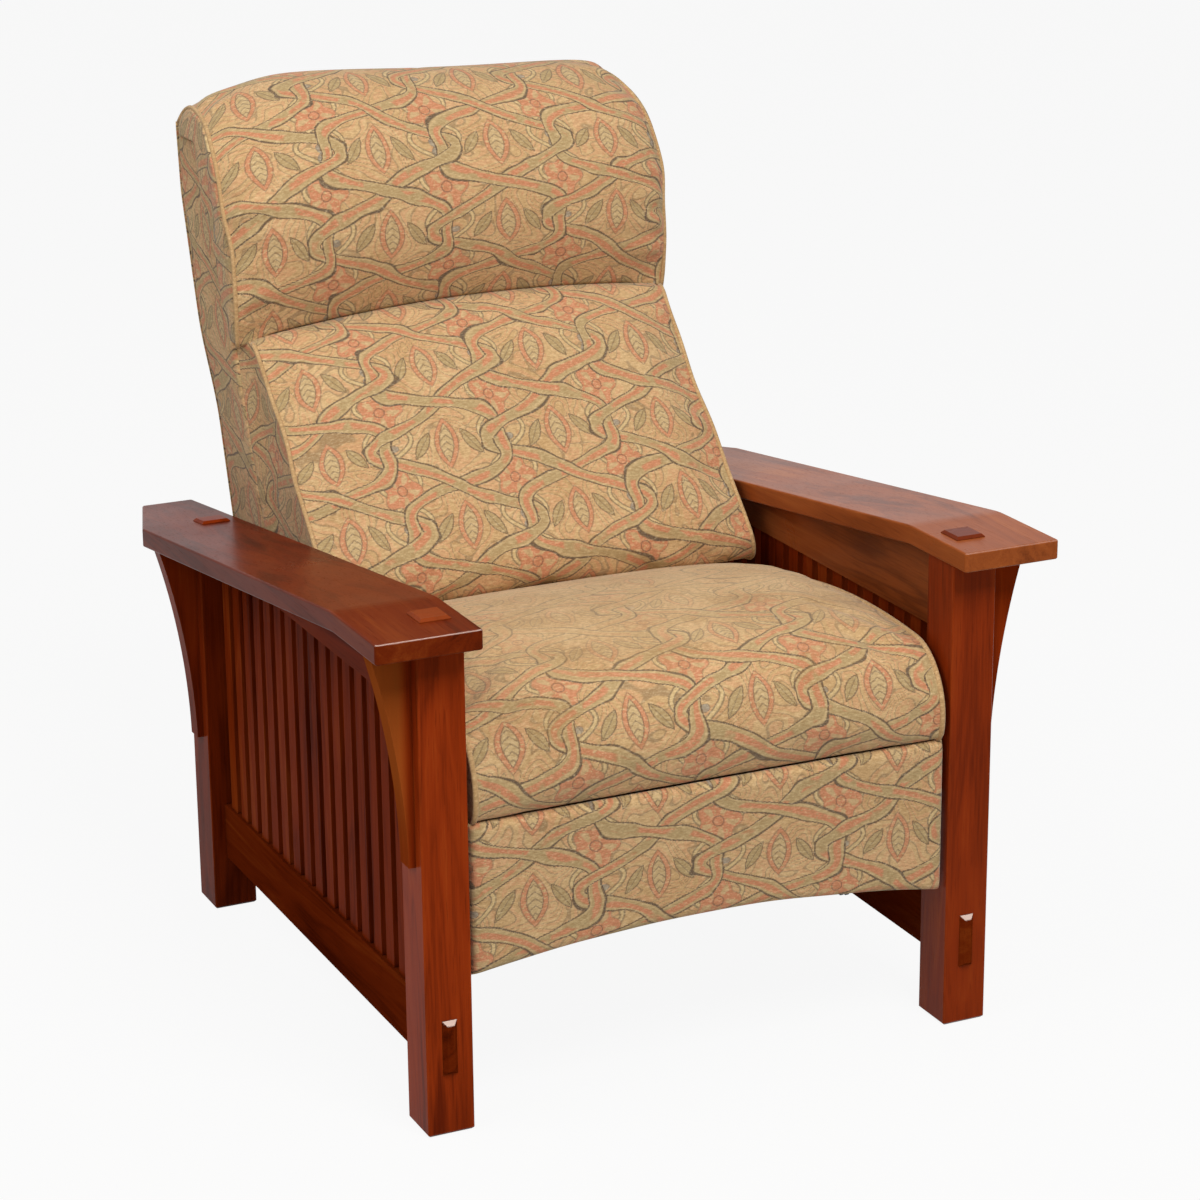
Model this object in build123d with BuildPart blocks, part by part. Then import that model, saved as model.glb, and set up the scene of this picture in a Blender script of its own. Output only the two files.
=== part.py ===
from build123d import *
import os
from math import atan2, cos, degrees, hypot, radians, sin, sqrt, tan

os.makedirs("parts", exist_ok=True)

# Mission reclining armchair, in millimetres. X runs to the right seen from the front, Y to the back,
# Z up from the floor. The origin is on the floor, under the middle of the chair.
# Every y below is measured back from the front edge of the arms, and placed by the value "front".
overall_width = 864.0
overall_depth = 1008.0
front = -overall_depth / 2
cut_overrun = 2.0
edge_ease = 1.2

# Legs with tenons that come up through the arms
leg_width = 57.6
leg_depth = 60.0
leg_outer_setback = 62.0
front_leg_setback = 38.0
rear_leg_back_gap = 228.0
rear_leg_setback = overall_depth - rear_leg_back_gap
leg_foot_chamfer = 3.0
leg_tenon_size = 38.0
leg_tenon_proud = 4.0
leg_tenon_bevel = 3.2
leg_outer_x = overall_width / 2 - leg_outer_setback
leg_inner_x = leg_outer_x - leg_width
leg_centre_x = (leg_outer_x + leg_inner_x) / 2

# Bow arms: level at the front, then sloping down to the back, and wider than the legs on both sides
arm_inner_overhang = 7.4
arm_thickness = 24.0
arm_height = 618.0
arm_rear_gap = 8.0
arm_length = overall_depth - arm_rear_gap
arm_level_length = 132.0
arm_slope = 7.46
arm_bend_radius = 160.0
arm_taper_length = 180.0
arm_rear_width = 70.0
arm_corner_radius = 4.0
arm_edge_round = 2.5
arm_outer_x = overall_width / 2
arm_inner_x = leg_inner_x - arm_inner_overhang
arm_width = arm_outer_x - arm_inner_x

# Side rails between the legs
rail_thickness = 20.0
lower_rail_bottom = 72.0
lower_rail_height = 75.0
upper_rail_rear_height = 17.0
rail_tenon_thickness = 18.0
rail_tenon_shoulder = 4.0
rail_tenon_proud = 6.0
rail_tenon_bevel = 5.0
rail_stub_length = 25.0
rail_inner_x = leg_centre_x - rail_thickness / 2

# Slats, mortised into both rails
slat_count = 17
slat_width = 23.6
slat_thickness = 10.0
slat_mortise_depth = 8.0

# Corbels under the arms, on the outer faces of the legs
corbel_height = 265.0
corbel_top_reach = 50.0
corbel_foot_reach = 8.0
corbel_thickness = 25.0
corbel_hollow = 9.5

# Rear stretcher, tenoned into the rear legs
stretcher_bottom = 152.0
stretcher_height = 88.0
stretcher_thickness = 22.0
stretcher_tenon_thickness = 12.0
stretcher_tenon_length = 18.0
stretcher_shoulder = 12.0

# The seat's deck and the recline pivot, which the heights and depths below are taken from
seat_deck_height = 374.0
recline_pivot_setback = 358.0
recline_pivot_drop = 24.0
recline_pivot_y = overall_depth - recline_pivot_setback
recline_pivot_height = seat_deck_height - recline_pivot_drop

# Side layers of the mechanism, counted inwards from the cleat on each side
cleat_overhang = 6.4
cleat_height = 72.0
cleat_drop = 32.0
cleat_inner_x = leg_inner_x - cleat_overhang
plate_thickness = 3.2
layer_gap = 0.4
layer_step = plate_thickness + layer_gap
base_layer_x = cleat_inner_x - plate_thickness
swing_layer_x = base_layer_x - layer_step
seat_layer_x = swing_layer_x - layer_step
drive_layer_x = seat_layer_x - layer_step
front_link_layer_x = drive_layer_x - layer_step
tilt_layer_x = front_link_layer_x - layer_step
guide_layer_x = tilt_layer_x - layer_step
pin_radius = 3.0
pin_clearance = 0.08
open_pivot_clearance = 0.6

# Base plates, cross tubes and swing links, which carry the seat forward
swing_front_y = 300.0
swing_rear_setback = 50.0
swing_pivot_drop = 144.0
swing_length = 75.0
swing_lean = 25.0
swing_link_width = 18.0
base_plate_margin = 22.0
base_bolt_radius = 4.0
base_bolt_length = 18.0
base_bolt_inset = 60.0
base_tube_radius = 9.0
base_tube_wall = 1.5
base_tube_inset = 45.0
swing_rear_y = recline_pivot_y - swing_rear_setback
swing_pivot_height = seat_deck_height - swing_pivot_drop
cleat_bottom = swing_pivot_height - cleat_drop

# Footrest: board with an arched lower edge, pad and two brackets
footrest_leg_gap = 5.4
footrest_deck_drop = 6.0
footrest_height = 178.0
footrest_arch_rise = 35.0
footrest_pad_front = 38.0
footrest_pad_thickness = 14.0
footrest_pad_edge_round = 6.0
footrest_board_thickness = 13.0
footrest_board_inset = 4.0
footrest_pivot_gap = 20.0
footrest_pivot_drop = 21.0
bracket_flange_width = 28.0
bracket_margin = 12.0
footrest_width = 2 * (leg_inner_x - footrest_leg_gap)
footrest_top = seat_deck_height - footrest_deck_drop
footrest_side_bottom = footrest_top - footrest_height
footrest_board_front = footrest_pad_front + footrest_pad_thickness
footrest_board_rear = footrest_board_front + footrest_board_thickness

# Footrest linkage at rest, folded behind the footrest: angles are up from straight ahead
drive_link_length = 210.0
drive_link_angle = -115.0
drive_link_swing = 85.0
front_link_excess = 30.0
front_link_length = drive_link_length + front_link_excess
front_link_angle = 53.2
front_link_end_angle = 25.0
tilt_arm_length = 55.0
guide_offset = 30.0
guide_pivot_back = 28.1
guide_pivot_drop = 28.0
guide_hole_play = 3.0
link_width = 16.0
slim_link_width = 14.0
guide_eye_radius = 11.0
guide_tube_radius = 8.0
guide_tube_wall = 1.5

# Seat frame, webbing and cushion
seat_rail_thickness = 17.0
seat_rail_height = 70.0
seat_rail_front = 73.0
seat_rail_rear_gap = 30.0
seat_cross_rail_thickness = 20.0
seat_webbing_thickness = 2.0
seat_webbing_width = 50.0
seat_web_rows = 8
seat_web_columns = 5
seat_block_rear_gap = 90.0
seat_block_height = 52.0
seat_plate_margin = 18.0
seat_corner_block = 60.0
seat_corner_thickness = 23.0
seat_cushion_arm_gap = 2.0
seat_cushion_front = 39.0
seat_cushion_rear_gap = 11.0
seat_cushion_height = 132.0
seat_cushion_crown = 18.0
seat_cushion_side_draw = 7.0
seat_rail_rear = recline_pivot_y - seat_rail_rear_gap
seat_block_length = recline_pivot_y - seat_block_rear_gap - swing_front_y
seat_cushion_width = 2 * (arm_inner_x - seat_cushion_arm_gap)
seat_cushion_depth = recline_pivot_y - seat_cushion_rear_gap - seat_cushion_front
seat_rail_outer_x = guide_layer_x - layer_gap
seat_rail_top = seat_deck_height - seat_webbing_thickness
seat_rail_middle = seat_rail_top - seat_rail_height / 2

# Back: side panels, rails, webbing, covers and brackets, tilted about the recline pivot
back_pivot_margin = 22.0
back_height = 1018.0
back_bottom_drop = 29.0
back_rear_tilt = 17.2
back_panel_thickness = 10.0
back_side_thickness = 18.0
back_cover_thickness = 5.2
back_frame_drop = 15.0
back_frame_top_depth = 78.0
back_foot_setback = 8.0
back_foot_rise = 20.0
back_foot_depth = 42.0
back_rail_height = 60.0
back_rail_inset = 60.0
back_rail_thickness = 20.0
back_bracket_reach = 150.0
back_bracket_width = 40.0
back_bolt_radius = 4.0
back_bolt_spacing = 40.0
back_webbing_width = 50.0
back_webbing_thickness = 2.0
back_web_rows = 6
back_bottom = seat_deck_height - back_bottom_drop
back_frame_top = back_height - back_frame_drop
back_front_foot_y = recline_pivot_y + back_foot_setback
back_front_foot_height = seat_deck_height + back_foot_rise

# Lumbar and head cushions
back_cushion_arm_gap = 4.0
lumbar_taper = 8.0
lumbar_crown = 16.0
lumbar_foot_depth = 177.9
lumbar_nest = 41.0
lumbar_heel_drop = 14.0
head_drop = 240.0
head_crown = 28.0
head_foot_depth = 32.6
head_height = 272.0
cushion_side_draw = 5.0
cushion_crown_power = 4
head_crown_power = 6
cushion_station_shares = (0, 0.5, 0.8, 0.94, 1)
lumbar_bottom = seat_deck_height + seat_cushion_height - lumbar_nest
crease_height = back_height - head_drop
head_width = 2 * (arm_inner_x - back_cushion_arm_gap)
lumbar_bottom_width = head_width
lumbar_top_width = lumbar_bottom_width - 2 * lumbar_taper

# Sizes that follow from the arm's slope and the legs' places
arm_tan = tan(radians(arm_slope))
arm_drop = arm_thickness / cos(radians(arm_slope))
front_leg_y = front_leg_setback + leg_depth / 2
rear_leg_y = rear_leg_setback + leg_depth / 2
side_span = rear_leg_setback - front_leg_setback - leg_depth
side_start = front_leg_setback + leg_depth
lower_rail_top = lower_rail_bottom + lower_rail_height
slat_pitch = (side_span + slat_width) / (slat_count + 1)
arm_taper_start = arm_length - arm_taper_length


def arm_top(y):
    """Height of the arm's upper face at a distance y behind its front edge."""
    return arm_height - max(0.0, y - arm_level_length) * arm_tan


def arm_under(y):
    """Height of the arm's lower face at a distance y behind its front edge."""
    return min(arm_height - arm_thickness, arm_height - arm_drop - (y - arm_level_length) * arm_tan)


def save(part, name):
    """Labels one finished piece and writes it."""
    part.label = name
    export_step(part, "parts/" + name + ".step")


def side_plane(x):
    """Plane at x whose own axes run back from the arms' front edge and up from the floor."""
    return Plane(origin=(x, front, 0), x_dir=(0, 1, 0), z_dir=(1, 0, 0))


def cross_plane(y):
    """Plane across the chair at a distance y behind the arms' front edge, facing forward."""
    return Plane(origin=(0, front + y, 0), x_dir=(1, 0, 0), z_dir=(0, -1, 0))


def along(point, angle, distance):
    """Point at a distance from another, at an angle up from straight ahead."""
    return (point[0] - distance * cos(radians(angle)), point[1] + distance * sin(radians(angle)))


upper_rail_bottom = arm_under(rear_leg_setback) - upper_rail_rear_height

# Pivots of the mechanism, as distances back and up. The footrest's pivot lies behind its board, and
# the linkage is worked back from there to the drive pivot on the seat plate.
swing_front_pivot = (swing_front_y, swing_pivot_height)
swing_rear_pivot = (swing_rear_y, swing_pivot_height)
seat_front_pivot = along(swing_front_pivot, 90 + swing_lean, swing_length)
seat_rear_pivot = along(swing_rear_pivot, 90 + swing_lean, swing_length)
recline_pivot = (recline_pivot_y, recline_pivot_height)
footrest_pivot = (footrest_board_rear + footrest_pivot_gap, footrest_top - footrest_pivot_drop)
elbow_pivot = along(footrest_pivot, front_link_angle, -front_link_length)
drive_pivot = along(elbow_pivot, drive_link_angle, -drive_link_length)
tilt_pivot = along(elbow_pivot, drive_link_angle, tilt_arm_length)
footrest_tilt_pivot = along(footrest_pivot, drive_link_angle, tilt_arm_length)
guide_pivot = (drive_pivot[0] + guide_pivot_back, drive_pivot[1] - guide_pivot_drop)
guide_end = along(elbow_pivot, front_link_angle, -guide_offset)
guide_length = hypot(guide_end[0] - guide_pivot[0], guide_end[1] - guide_pivot[1])
guide_angle = degrees(atan2(guide_end[1] - guide_pivot[1], guide_pivot[0] - guide_end[0]))
front_link_ratio = (front_link_end_angle - front_link_angle) / drive_link_swing - 1


def link_plate(x, side, ends, width, holes):
    """Flat bar with round ends between pivots; holes are (point, radius) pairs."""
    with BuildPart() as bar:
        with BuildSketch(side_plane(side * x)):
            with Locations(*ends):
                Circle(width / 2)
            make_hull()
            for point, radius in holes:
                with Locations(point):
                    Circle(radius, mode=Mode.SUBTRACT)
        extrude(amount=side * plate_thickness)
    return bar.part


def pin(side, point, inner_x, outer_x, radius=pin_radius):
    """Round pin that runs sideways through the layers from inner_x to outer_x."""
    with BuildPart() as rod:
        with BuildSketch(side_plane(side * inner_x)):
            with Locations(point):
                Circle(radius)
        extrude(amount=side * (outer_x - inner_x))
    return rod.part


def arm(side):
    """Arm board: bent in side view, tapered to the rear in plan, with two through mortises."""
    bend_shift = arm_thickness * tan(radians(arm_slope / 2))
    with BuildPart() as board:
        with BuildSketch(side_plane(side * arm_inner_x)):
            with BuildLine():
                Polyline(
                    (0, arm_height - arm_thickness),
                    (0, arm_height),
                    (arm_level_length, arm_height),
                    (arm_length, arm_top(arm_length)),
                    (arm_length, arm_under(arm_length)),
                    (arm_level_length - bend_shift, arm_height - arm_thickness),
                    close=True,
                )
            make_face()
            fillet(vertices().sort_by(Axis.Y)[-2:].sort_by(Axis.X)[-1], radius=arm_bend_radius)
        extrude(amount=side * arm_width)
        with BuildSketch(Plane.XY):
            with BuildLine():
                Polyline(
                    (side * arm_inner_x, front),
                    (side * arm_outer_x, front),
                    (side * arm_outer_x, front + arm_taper_start),
                    (side * (arm_inner_x + arm_rear_width), front + arm_length),
                    (side * arm_inner_x, front + arm_length),
                    close=True,
                )
            make_face()
            fillet(vertices(), radius=arm_corner_radius)
        extrude(amount=arm_height + cut_overrun, mode=Mode.INTERSECT)
        fillet(edges().filter_by(Axis.Z, reverse=True), radius=arm_edge_round)
        for leg_y in (front_leg_y, rear_leg_y):
            with BuildSketch(Plane.XY):
                with Locations((side * leg_centre_x, front + leg_y)):
                    Rectangle(leg_tenon_size, leg_tenon_size)
            extrude(amount=arm_height + cut_overrun, mode=Mode.SUBTRACT)
    return board.part


def leg(side, leg_y, through):
    """Square leg under the sloped arm, its bevelled tenon, and mortises for the rails."""
    near, far = leg_y - leg_depth / 2, leg_y + leg_depth / 2
    tenon_near, tenon_far = leg_y - leg_tenon_size / 2, leg_y + leg_tenon_size / 2
    tenon_inner_x = leg_centre_x - leg_tenon_size / 2
    with BuildPart() as post:
        with BuildSketch(side_plane(side * leg_inner_x)):
            with BuildLine():
                Polyline((near, 0), (far, 0), (far, arm_under(far)), (near, arm_under(near)), close=True)
            make_face()
        extrude(amount=side * leg_width)
        chamfer(faces().sort_by(Axis.Z)[0].edges(), length=leg_foot_chamfer)
        chamfer(edges().filter_by(Axis.Z), length=edge_ease)
        with BuildSketch(side_plane(side * tenon_inner_x)):
            with BuildLine():
                Polyline(
                    (tenon_near, arm_under(tenon_near)),
                    (tenon_far, arm_under(tenon_far)),
                    (tenon_far, arm_top(tenon_far) + leg_tenon_proud),
                    (tenon_near, arm_top(tenon_near) + leg_tenon_proud),
                    close=True,
                )
            make_face()
        extrude(amount=side * leg_tenon_size)
        chamfer(faces().sort_by(Axis.Z)[-1].edges(), length=leg_tenon_bevel)
        mortise_length = leg_depth if through else rail_stub_length
        with BuildSketch(cross_plane(near)):
            with Locations((side * leg_centre_x, lower_rail_bottom + lower_rail_height / 2)):
                Rectangle(rail_tenon_thickness, lower_rail_height - 2 * rail_tenon_shoulder)
        extrude(amount=-mortise_length, mode=Mode.SUBTRACT)
        if not through:
            with BuildSketch(side_plane(side * leg_inner_x)):
                with Locations((leg_y, stretcher_bottom + stretcher_height / 2)):
                    Rectangle(stretcher_tenon_thickness, stretcher_height - 2 * stretcher_shoulder)
            extrude(amount=side * stretcher_tenon_length, mode=Mode.SUBTRACT)
    return post.part


def slat_centres():
    """Distances back of the slats' centres."""
    first = side_start - slat_width / 2
    return [first + slat_pitch * (i + 1) for i in range(slat_count)]


def slat_mortises(side, height):
    """Sketch of the row of slat mortises at a height, in the plan plane."""
    with BuildSketch(Plane.XY.offset(height)) as row:
        with Locations(*[(side * leg_centre_x, front + y) for y in slat_centres()]):
            Rectangle(slat_thickness, slat_width)
    return row.sketch


def lower_rail(side):
    """Lower side rail; its front tenon passes through the leg and ends in a bevelled point."""
    with BuildPart() as rail:
        with BuildSketch(side_plane(side * rail_inner_x)):
            with Locations((side_start + side_span / 2, lower_rail_bottom + lower_rail_height / 2)):
                Rectangle(side_span, lower_rail_height)
        extrude(amount=side * rail_thickness)
        chamfer(edges().filter_by(Axis.Y), length=edge_ease)
        tenon_start = front_leg_setback - rail_tenon_proud
        tenon_length = side_start - tenon_start + side_span + rail_stub_length
        with BuildSketch(cross_plane(tenon_start)):
            with Locations((side * leg_centre_x, lower_rail_bottom + lower_rail_height / 2)):
                Rectangle(rail_tenon_thickness, lower_rail_height - 2 * rail_tenon_shoulder)
        extrude(amount=-tenon_length)
        chamfer(faces().sort_by(Axis.Y)[0].edges(), length=rail_tenon_bevel)
        add(slat_mortises(side, lower_rail_top - slat_mortise_depth))
        extrude(amount=slat_mortise_depth, mode=Mode.SUBTRACT)
    return rail.part


def upper_rail(side):
    """Upper side rail: level below, cut above to the bent underside of the arm."""
    side_end = side_start + side_span
    bend = arm_level_length - arm_thickness * tan(radians(arm_slope / 2))
    with BuildPart() as rail:
        with BuildSketch(side_plane(side * rail_inner_x)):
            with BuildLine():
                Polyline(
                    (side_start, upper_rail_bottom),
                    (side_end, upper_rail_bottom),
                    (side_end, arm_under(side_end)),
                    (bend, arm_height - arm_thickness),
                    (side_start, arm_height - arm_thickness),
                    close=True,
                )
            make_face()
        extrude(amount=side * rail_thickness)
        add(slat_mortises(side, upper_rail_bottom))
        extrude(amount=slat_mortise_depth, mode=Mode.SUBTRACT)
    return rail.part


def slats(side):
    """The row of slats of one side, each ending in both rails."""
    foot = lower_rail_top - slat_mortise_depth
    with BuildPart() as row:
        add(slat_mortises(side, foot))
        extrude(amount=upper_rail_bottom + slat_mortise_depth - foot)
    return row.part


def corbel(side, leg_y):
    """Curved bracket between a leg's outer face and the underside of the arm."""
    top = arm_under(leg_y - corbel_thickness / 2)
    foot = arm_under(leg_y) - corbel_height
    middle_reach = (corbel_top_reach + corbel_foot_reach) / 2 - corbel_hollow
    with BuildPart() as bracket:
        with BuildSketch(cross_plane(leg_y)):
            with BuildLine():
                Polyline(
                    (side * (leg_outer_x + corbel_foot_reach), foot),
                    (side * leg_outer_x, foot),
                    (side * leg_outer_x, top),
                    (side * (leg_outer_x + corbel_top_reach), top),
                )
                ThreePointArc(
                    (side * (leg_outer_x + corbel_top_reach), top),
                    (side * (leg_outer_x + middle_reach), (top + foot) / 2),
                    (side * (leg_outer_x + corbel_foot_reach), foot),
                )
            make_face()
        extrude(amount=corbel_thickness / 2, both=True)
        if leg_y > arm_level_length:
            under = Plane(
                origin=(0, front + leg_y, arm_under(leg_y)),
                x_dir=(1, 0, 0),
                z_dir=(0, arm_tan, 1),
            )
            split(bisect_by=under, keep=Keep.BOTTOM)
    return bracket.part


# Arms, legs, rails, slats and corbels, for both sides
for side, word in ((-1, "left"), (1, "right")):
    save(arm(side), "arm_" + word)
    save(leg(side, front_leg_y, True), "front_leg_" + word)
    save(leg(side, rear_leg_y, False), "rear_leg_" + word)
    save(lower_rail(side), "lower_side_rail_" + word)
    save(upper_rail(side), "upper_side_rail_" + word)
    save(slats(side), "side_slats_" + word)
    save(corbel(side, front_leg_y), "front_corbel_" + word)
    save(corbel(side, rear_leg_y), "rear_corbel_" + word)

# Rear stretcher between the rear legs, with a stub tenon at each end
with BuildPart() as rear_stretcher:
    with BuildSketch(cross_plane(rear_leg_y)):
        with Locations((0, stretcher_bottom + stretcher_height / 2)):
            Rectangle(2 * leg_inner_x, stretcher_height)
    extrude(amount=stretcher_thickness / 2, both=True)
    with BuildSketch(cross_plane(rear_leg_y)):
        with Locations((0, stretcher_bottom + stretcher_height / 2)):
            tenon_height = stretcher_height - 2 * stretcher_shoulder
            Rectangle(2 * (leg_inner_x + stretcher_tenon_length), tenon_height)
    extrude(amount=stretcher_tenon_thickness / 2, both=True)
save(rear_stretcher.part, "rear_stretcher")

# Bolts that hold each base plate to its cleat, in pairs near the plate's ends
base_bolt_points = [
    (swing_front_y + base_bolt_inset, swing_pivot_height),
    (swing_rear_y - base_bolt_inset, swing_pivot_height),
]
base_tube_points = [
    (swing_front_y + base_tube_inset, swing_pivot_height),
    (swing_rear_y - base_tube_inset, swing_pivot_height),
]


def cleat(side):
    """Hardwood cleat between the legs of one side, which the mechanism is bolted to."""
    with BuildPart() as bar:
        with BuildSketch(side_plane(side * cleat_inner_x)):
            with Locations((side_start + side_span / 2, cleat_bottom + cleat_height / 2)):
                Rectangle(side_span, cleat_height)
        extrude(amount=side * (rail_inner_x - cleat_inner_x))
        with BuildSketch(side_plane(side * cleat_inner_x)):
            with Locations(*base_bolt_points):
                Circle(base_bolt_radius)
        extrude(amount=side * (base_bolt_length - plate_thickness), mode=Mode.SUBTRACT)
    return bar.part


def base_plate(side):
    """Steel plate on the cleat, with holes for the swing pins, bolts and cross tubes."""
    holes = [(swing_front_pivot, pin_radius), (swing_rear_pivot, pin_radius)]
    holes += [(point, base_bolt_radius) for point in base_bolt_points]
    ends = [swing_front_pivot, swing_rear_pivot]
    return link_plate(base_layer_x, side, ends, 2 * base_plate_margin, holes)


def cross_tube(points, reach, radius, wall):
    """Round tubes across the chair, one at each point, from side to side."""
    with BuildPart() as tube:
        with BuildSketch(side_plane(-reach)):
            with Locations(*points):
                Circle(radius)
                Circle(radius - wall, mode=Mode.SUBTRACT)
        extrude(amount=2 * reach)
    return tube.part


def pin_group(pins, radius=pin_radius):
    """The same pins on both sides of the chair: each is a point and its inner and outer x."""
    with BuildPart() as group:
        for side in (-1, 1):
            for point, inner_x, outer_x in pins:
                add(pin(side, point, inner_x, outer_x, radius))
    return group.part


def link_pair(x, ends, width, holes):
    """The same link on both sides of the chair, as one group of two solids."""
    with BuildPart() as pair:
        for side in (-1, 1):
            add(link_plate(x, side, ends, width, holes))
    return pair.part


for side, word in ((-1, "left"), (1, "right")):
    save(cleat(side), "mechanism_cleat_" + word)
    save(base_plate(side), "base_plate_" + word)
bolt_outer_x = base_layer_x + base_bolt_length
base_bolts = [(point, base_layer_x, bolt_outer_x) for point in base_bolt_points]
save(pin_group(base_bolts, base_bolt_radius), "base_plate_bolts")
save(cross_tube(base_tube_points, base_layer_x, base_tube_radius, base_tube_wall), "base_cross_tubes")

# Swing links, with their pins to the base plates and the seat plates
pin_hole = pin_radius + pin_clearance
open_hole = pin_radius + open_pivot_clearance
swing_outer_x = base_layer_x + plate_thickness
front_swing_ends = [swing_front_pivot, seat_front_pivot]
rear_swing_ends = [swing_rear_pivot, seat_rear_pivot]
save(
    link_pair(swing_layer_x, front_swing_ends, swing_link_width,
              [(swing_front_pivot, pin_hole), (seat_front_pivot, pin_hole)]),
    "front_swing_links",
)
save(
    link_pair(swing_layer_x, rear_swing_ends, swing_link_width,
              [(swing_rear_pivot, pin_hole), (seat_rear_pivot, open_hole)]),
    "rear_swing_links",
)
swing_pins = [(point, swing_layer_x, swing_outer_x) for point in (swing_front_pivot, swing_rear_pivot)]
save(pin_group(swing_pins), "swing_base_pins")


def seat_plate(side):
    """Steel side plate of the seat, which carries every upper pivot of the mechanism."""
    rounds = [
        (drive_pivot, seat_plate_margin),
        (guide_pivot, seat_plate_margin),
        (seat_front_pivot, seat_plate_margin),
        (seat_rear_pivot, seat_plate_margin),
        (recline_pivot, back_pivot_margin),
    ]
    with BuildPart() as plate:
        with BuildSketch(side_plane(side * seat_layer_x)):
            for point, radius in rounds:
                with Locations(point):
                    Circle(radius)
            make_hull()
            for point, radius in rounds:
                with Locations(point):
                    Circle(pin_radius, mode=Mode.SUBTRACT)
        extrude(amount=side * plate_thickness)
    return plate.part


def seat_side_rail(side):
    """Wooden side rail of the seat."""
    with BuildPart() as rail:
        with BuildSketch(side_plane(side * (seat_rail_outer_x - seat_rail_thickness))):
            with Locations(((seat_rail_front + seat_rail_rear) / 2, seat_rail_middle)):
                Rectangle(seat_rail_rear - seat_rail_front, seat_rail_height)
        extrude(amount=side * seat_rail_thickness)
    return rail.part


def seat_cross_rail(near):
    """Wooden rail across the seat, between the side rails."""
    with BuildPart() as rail:
        with BuildSketch(cross_plane(near)):
            with Locations((0, seat_rail_middle)):
                Rectangle(2 * (seat_rail_outer_x - seat_rail_thickness), seat_rail_height)
        extrude(amount=-seat_cross_rail_thickness)
    return rail.part


# Seat frame
for side, word in ((-1, "left"), (1, "right")):
    save(seat_plate(side), "seat_plate_" + word)
    save(seat_side_rail(side), "seat_side_rail_" + word)
save(seat_cross_rail(seat_rail_front), "seat_front_rail")
save(seat_cross_rail(seat_rail_rear - seat_cross_rail_thickness), "seat_rear_rail")

# Spacer blocks between the side rails and the steel plates
with BuildPart() as seat_spacer_blocks:
    for side in (-1, 1):
        with BuildSketch(side_plane(side * seat_rail_outer_x)):
            with Locations((swing_front_y + seat_block_length / 2, seat_rail_middle)):
                Rectangle(seat_block_length, seat_block_height)
        extrude(amount=side * (seat_layer_x - seat_rail_outer_x))
save(seat_spacer_blocks.part, "seat_spacer_blocks")

# Corner blocks inside the seat frame
seat_inner_x = seat_rail_outer_x - seat_rail_thickness
corner_near = seat_rail_front + seat_cross_rail_thickness
corner_far = seat_rail_rear - seat_cross_rail_thickness
with BuildPart() as seat_corner_blocks:
    for side in (-1, 1):
        for corner_y, inward in ((corner_near, 1), (corner_far, -1)):
            with BuildSketch(Plane.XY.offset(seat_rail_middle)):
                with BuildLine():
                    Polyline(
                        (side * seat_inner_x, front + corner_y),
                        (side * (seat_inner_x - seat_corner_block), front + corner_y),
                        (side * seat_inner_x, front + corner_y + inward * seat_corner_block),
                        close=True,
                    )
                make_face()
            extrude(amount=seat_corner_thickness)
save(seat_corner_blocks.part, "seat_corner_blocks")

# Elastic webbing over the seat frame: bands across and bands from front to back, in one sheet
web_span = seat_rail_rear - seat_rail_front
web_row_pitch = web_span / seat_web_rows
web_column_pitch = 2 * seat_rail_outer_x / (seat_web_columns + 1)
with BuildPart() as seat_webbing:
    with BuildSketch(Plane.XY.offset(seat_rail_top)):
        with Locations((0, front + seat_rail_front + web_span / 2)):
            with GridLocations(0, web_row_pitch, 1, seat_web_rows):
                Rectangle(2 * seat_rail_outer_x, seat_webbing_width)
            with GridLocations(web_column_pitch, 0, seat_web_columns, 1):
                Rectangle(seat_webbing_width, web_span)
    extrude(amount=seat_webbing_thickness)
save(seat_webbing.part, "seat_webbing")

# Footrest linkage: drive, front, tilt and guide links on each side
save(
    link_pair(drive_layer_x, [drive_pivot, tilt_pivot], link_width,
              [(drive_pivot, pin_hole), (elbow_pivot, pin_hole), (tilt_pivot, pin_hole)]),
    "drive_links",
)
save(
    link_pair(front_link_layer_x, [guide_end, footrest_pivot], slim_link_width,
              [(guide_end, pin_radius), (elbow_pivot, pin_radius), (footrest_pivot, pin_hole)]),
    "front_links",
)
save(
    link_pair(tilt_layer_x, [tilt_pivot, footrest_tilt_pivot], slim_link_width,
              [(tilt_pivot, pin_radius), (footrest_tilt_pivot, open_hole)]),
    "tilt_links",
)


def guide_link(side):
    """Guide link, with a wider eye and an easy hole at its open pivot on the front link."""
    with BuildPart() as bar:
        with BuildSketch(side_plane(side * guide_layer_x)):
            with Locations(guide_pivot):
                Circle(slim_link_width / 2)
            with Locations(guide_end):
                Circle(guide_eye_radius)
            make_hull()
            with Locations(guide_pivot):
                Circle(pin_hole, mode=Mode.SUBTRACT)
            with Locations(guide_end):
                Circle(pin_radius + guide_hole_play, mode=Mode.SUBTRACT)
        extrude(amount=side * plate_thickness)
    return bar.part


with BuildPart() as guide_links:
    for side in (-1, 1):
        add(guide_link(side))
save(guide_links.part, "guide_links")
guide_tube_point = along(guide_pivot, guide_angle, guide_length / 2)
save(cross_tube([guide_tube_point], guide_layer_x, guide_tube_radius, guide_tube_wall), "guide_cross_tube")

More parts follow.
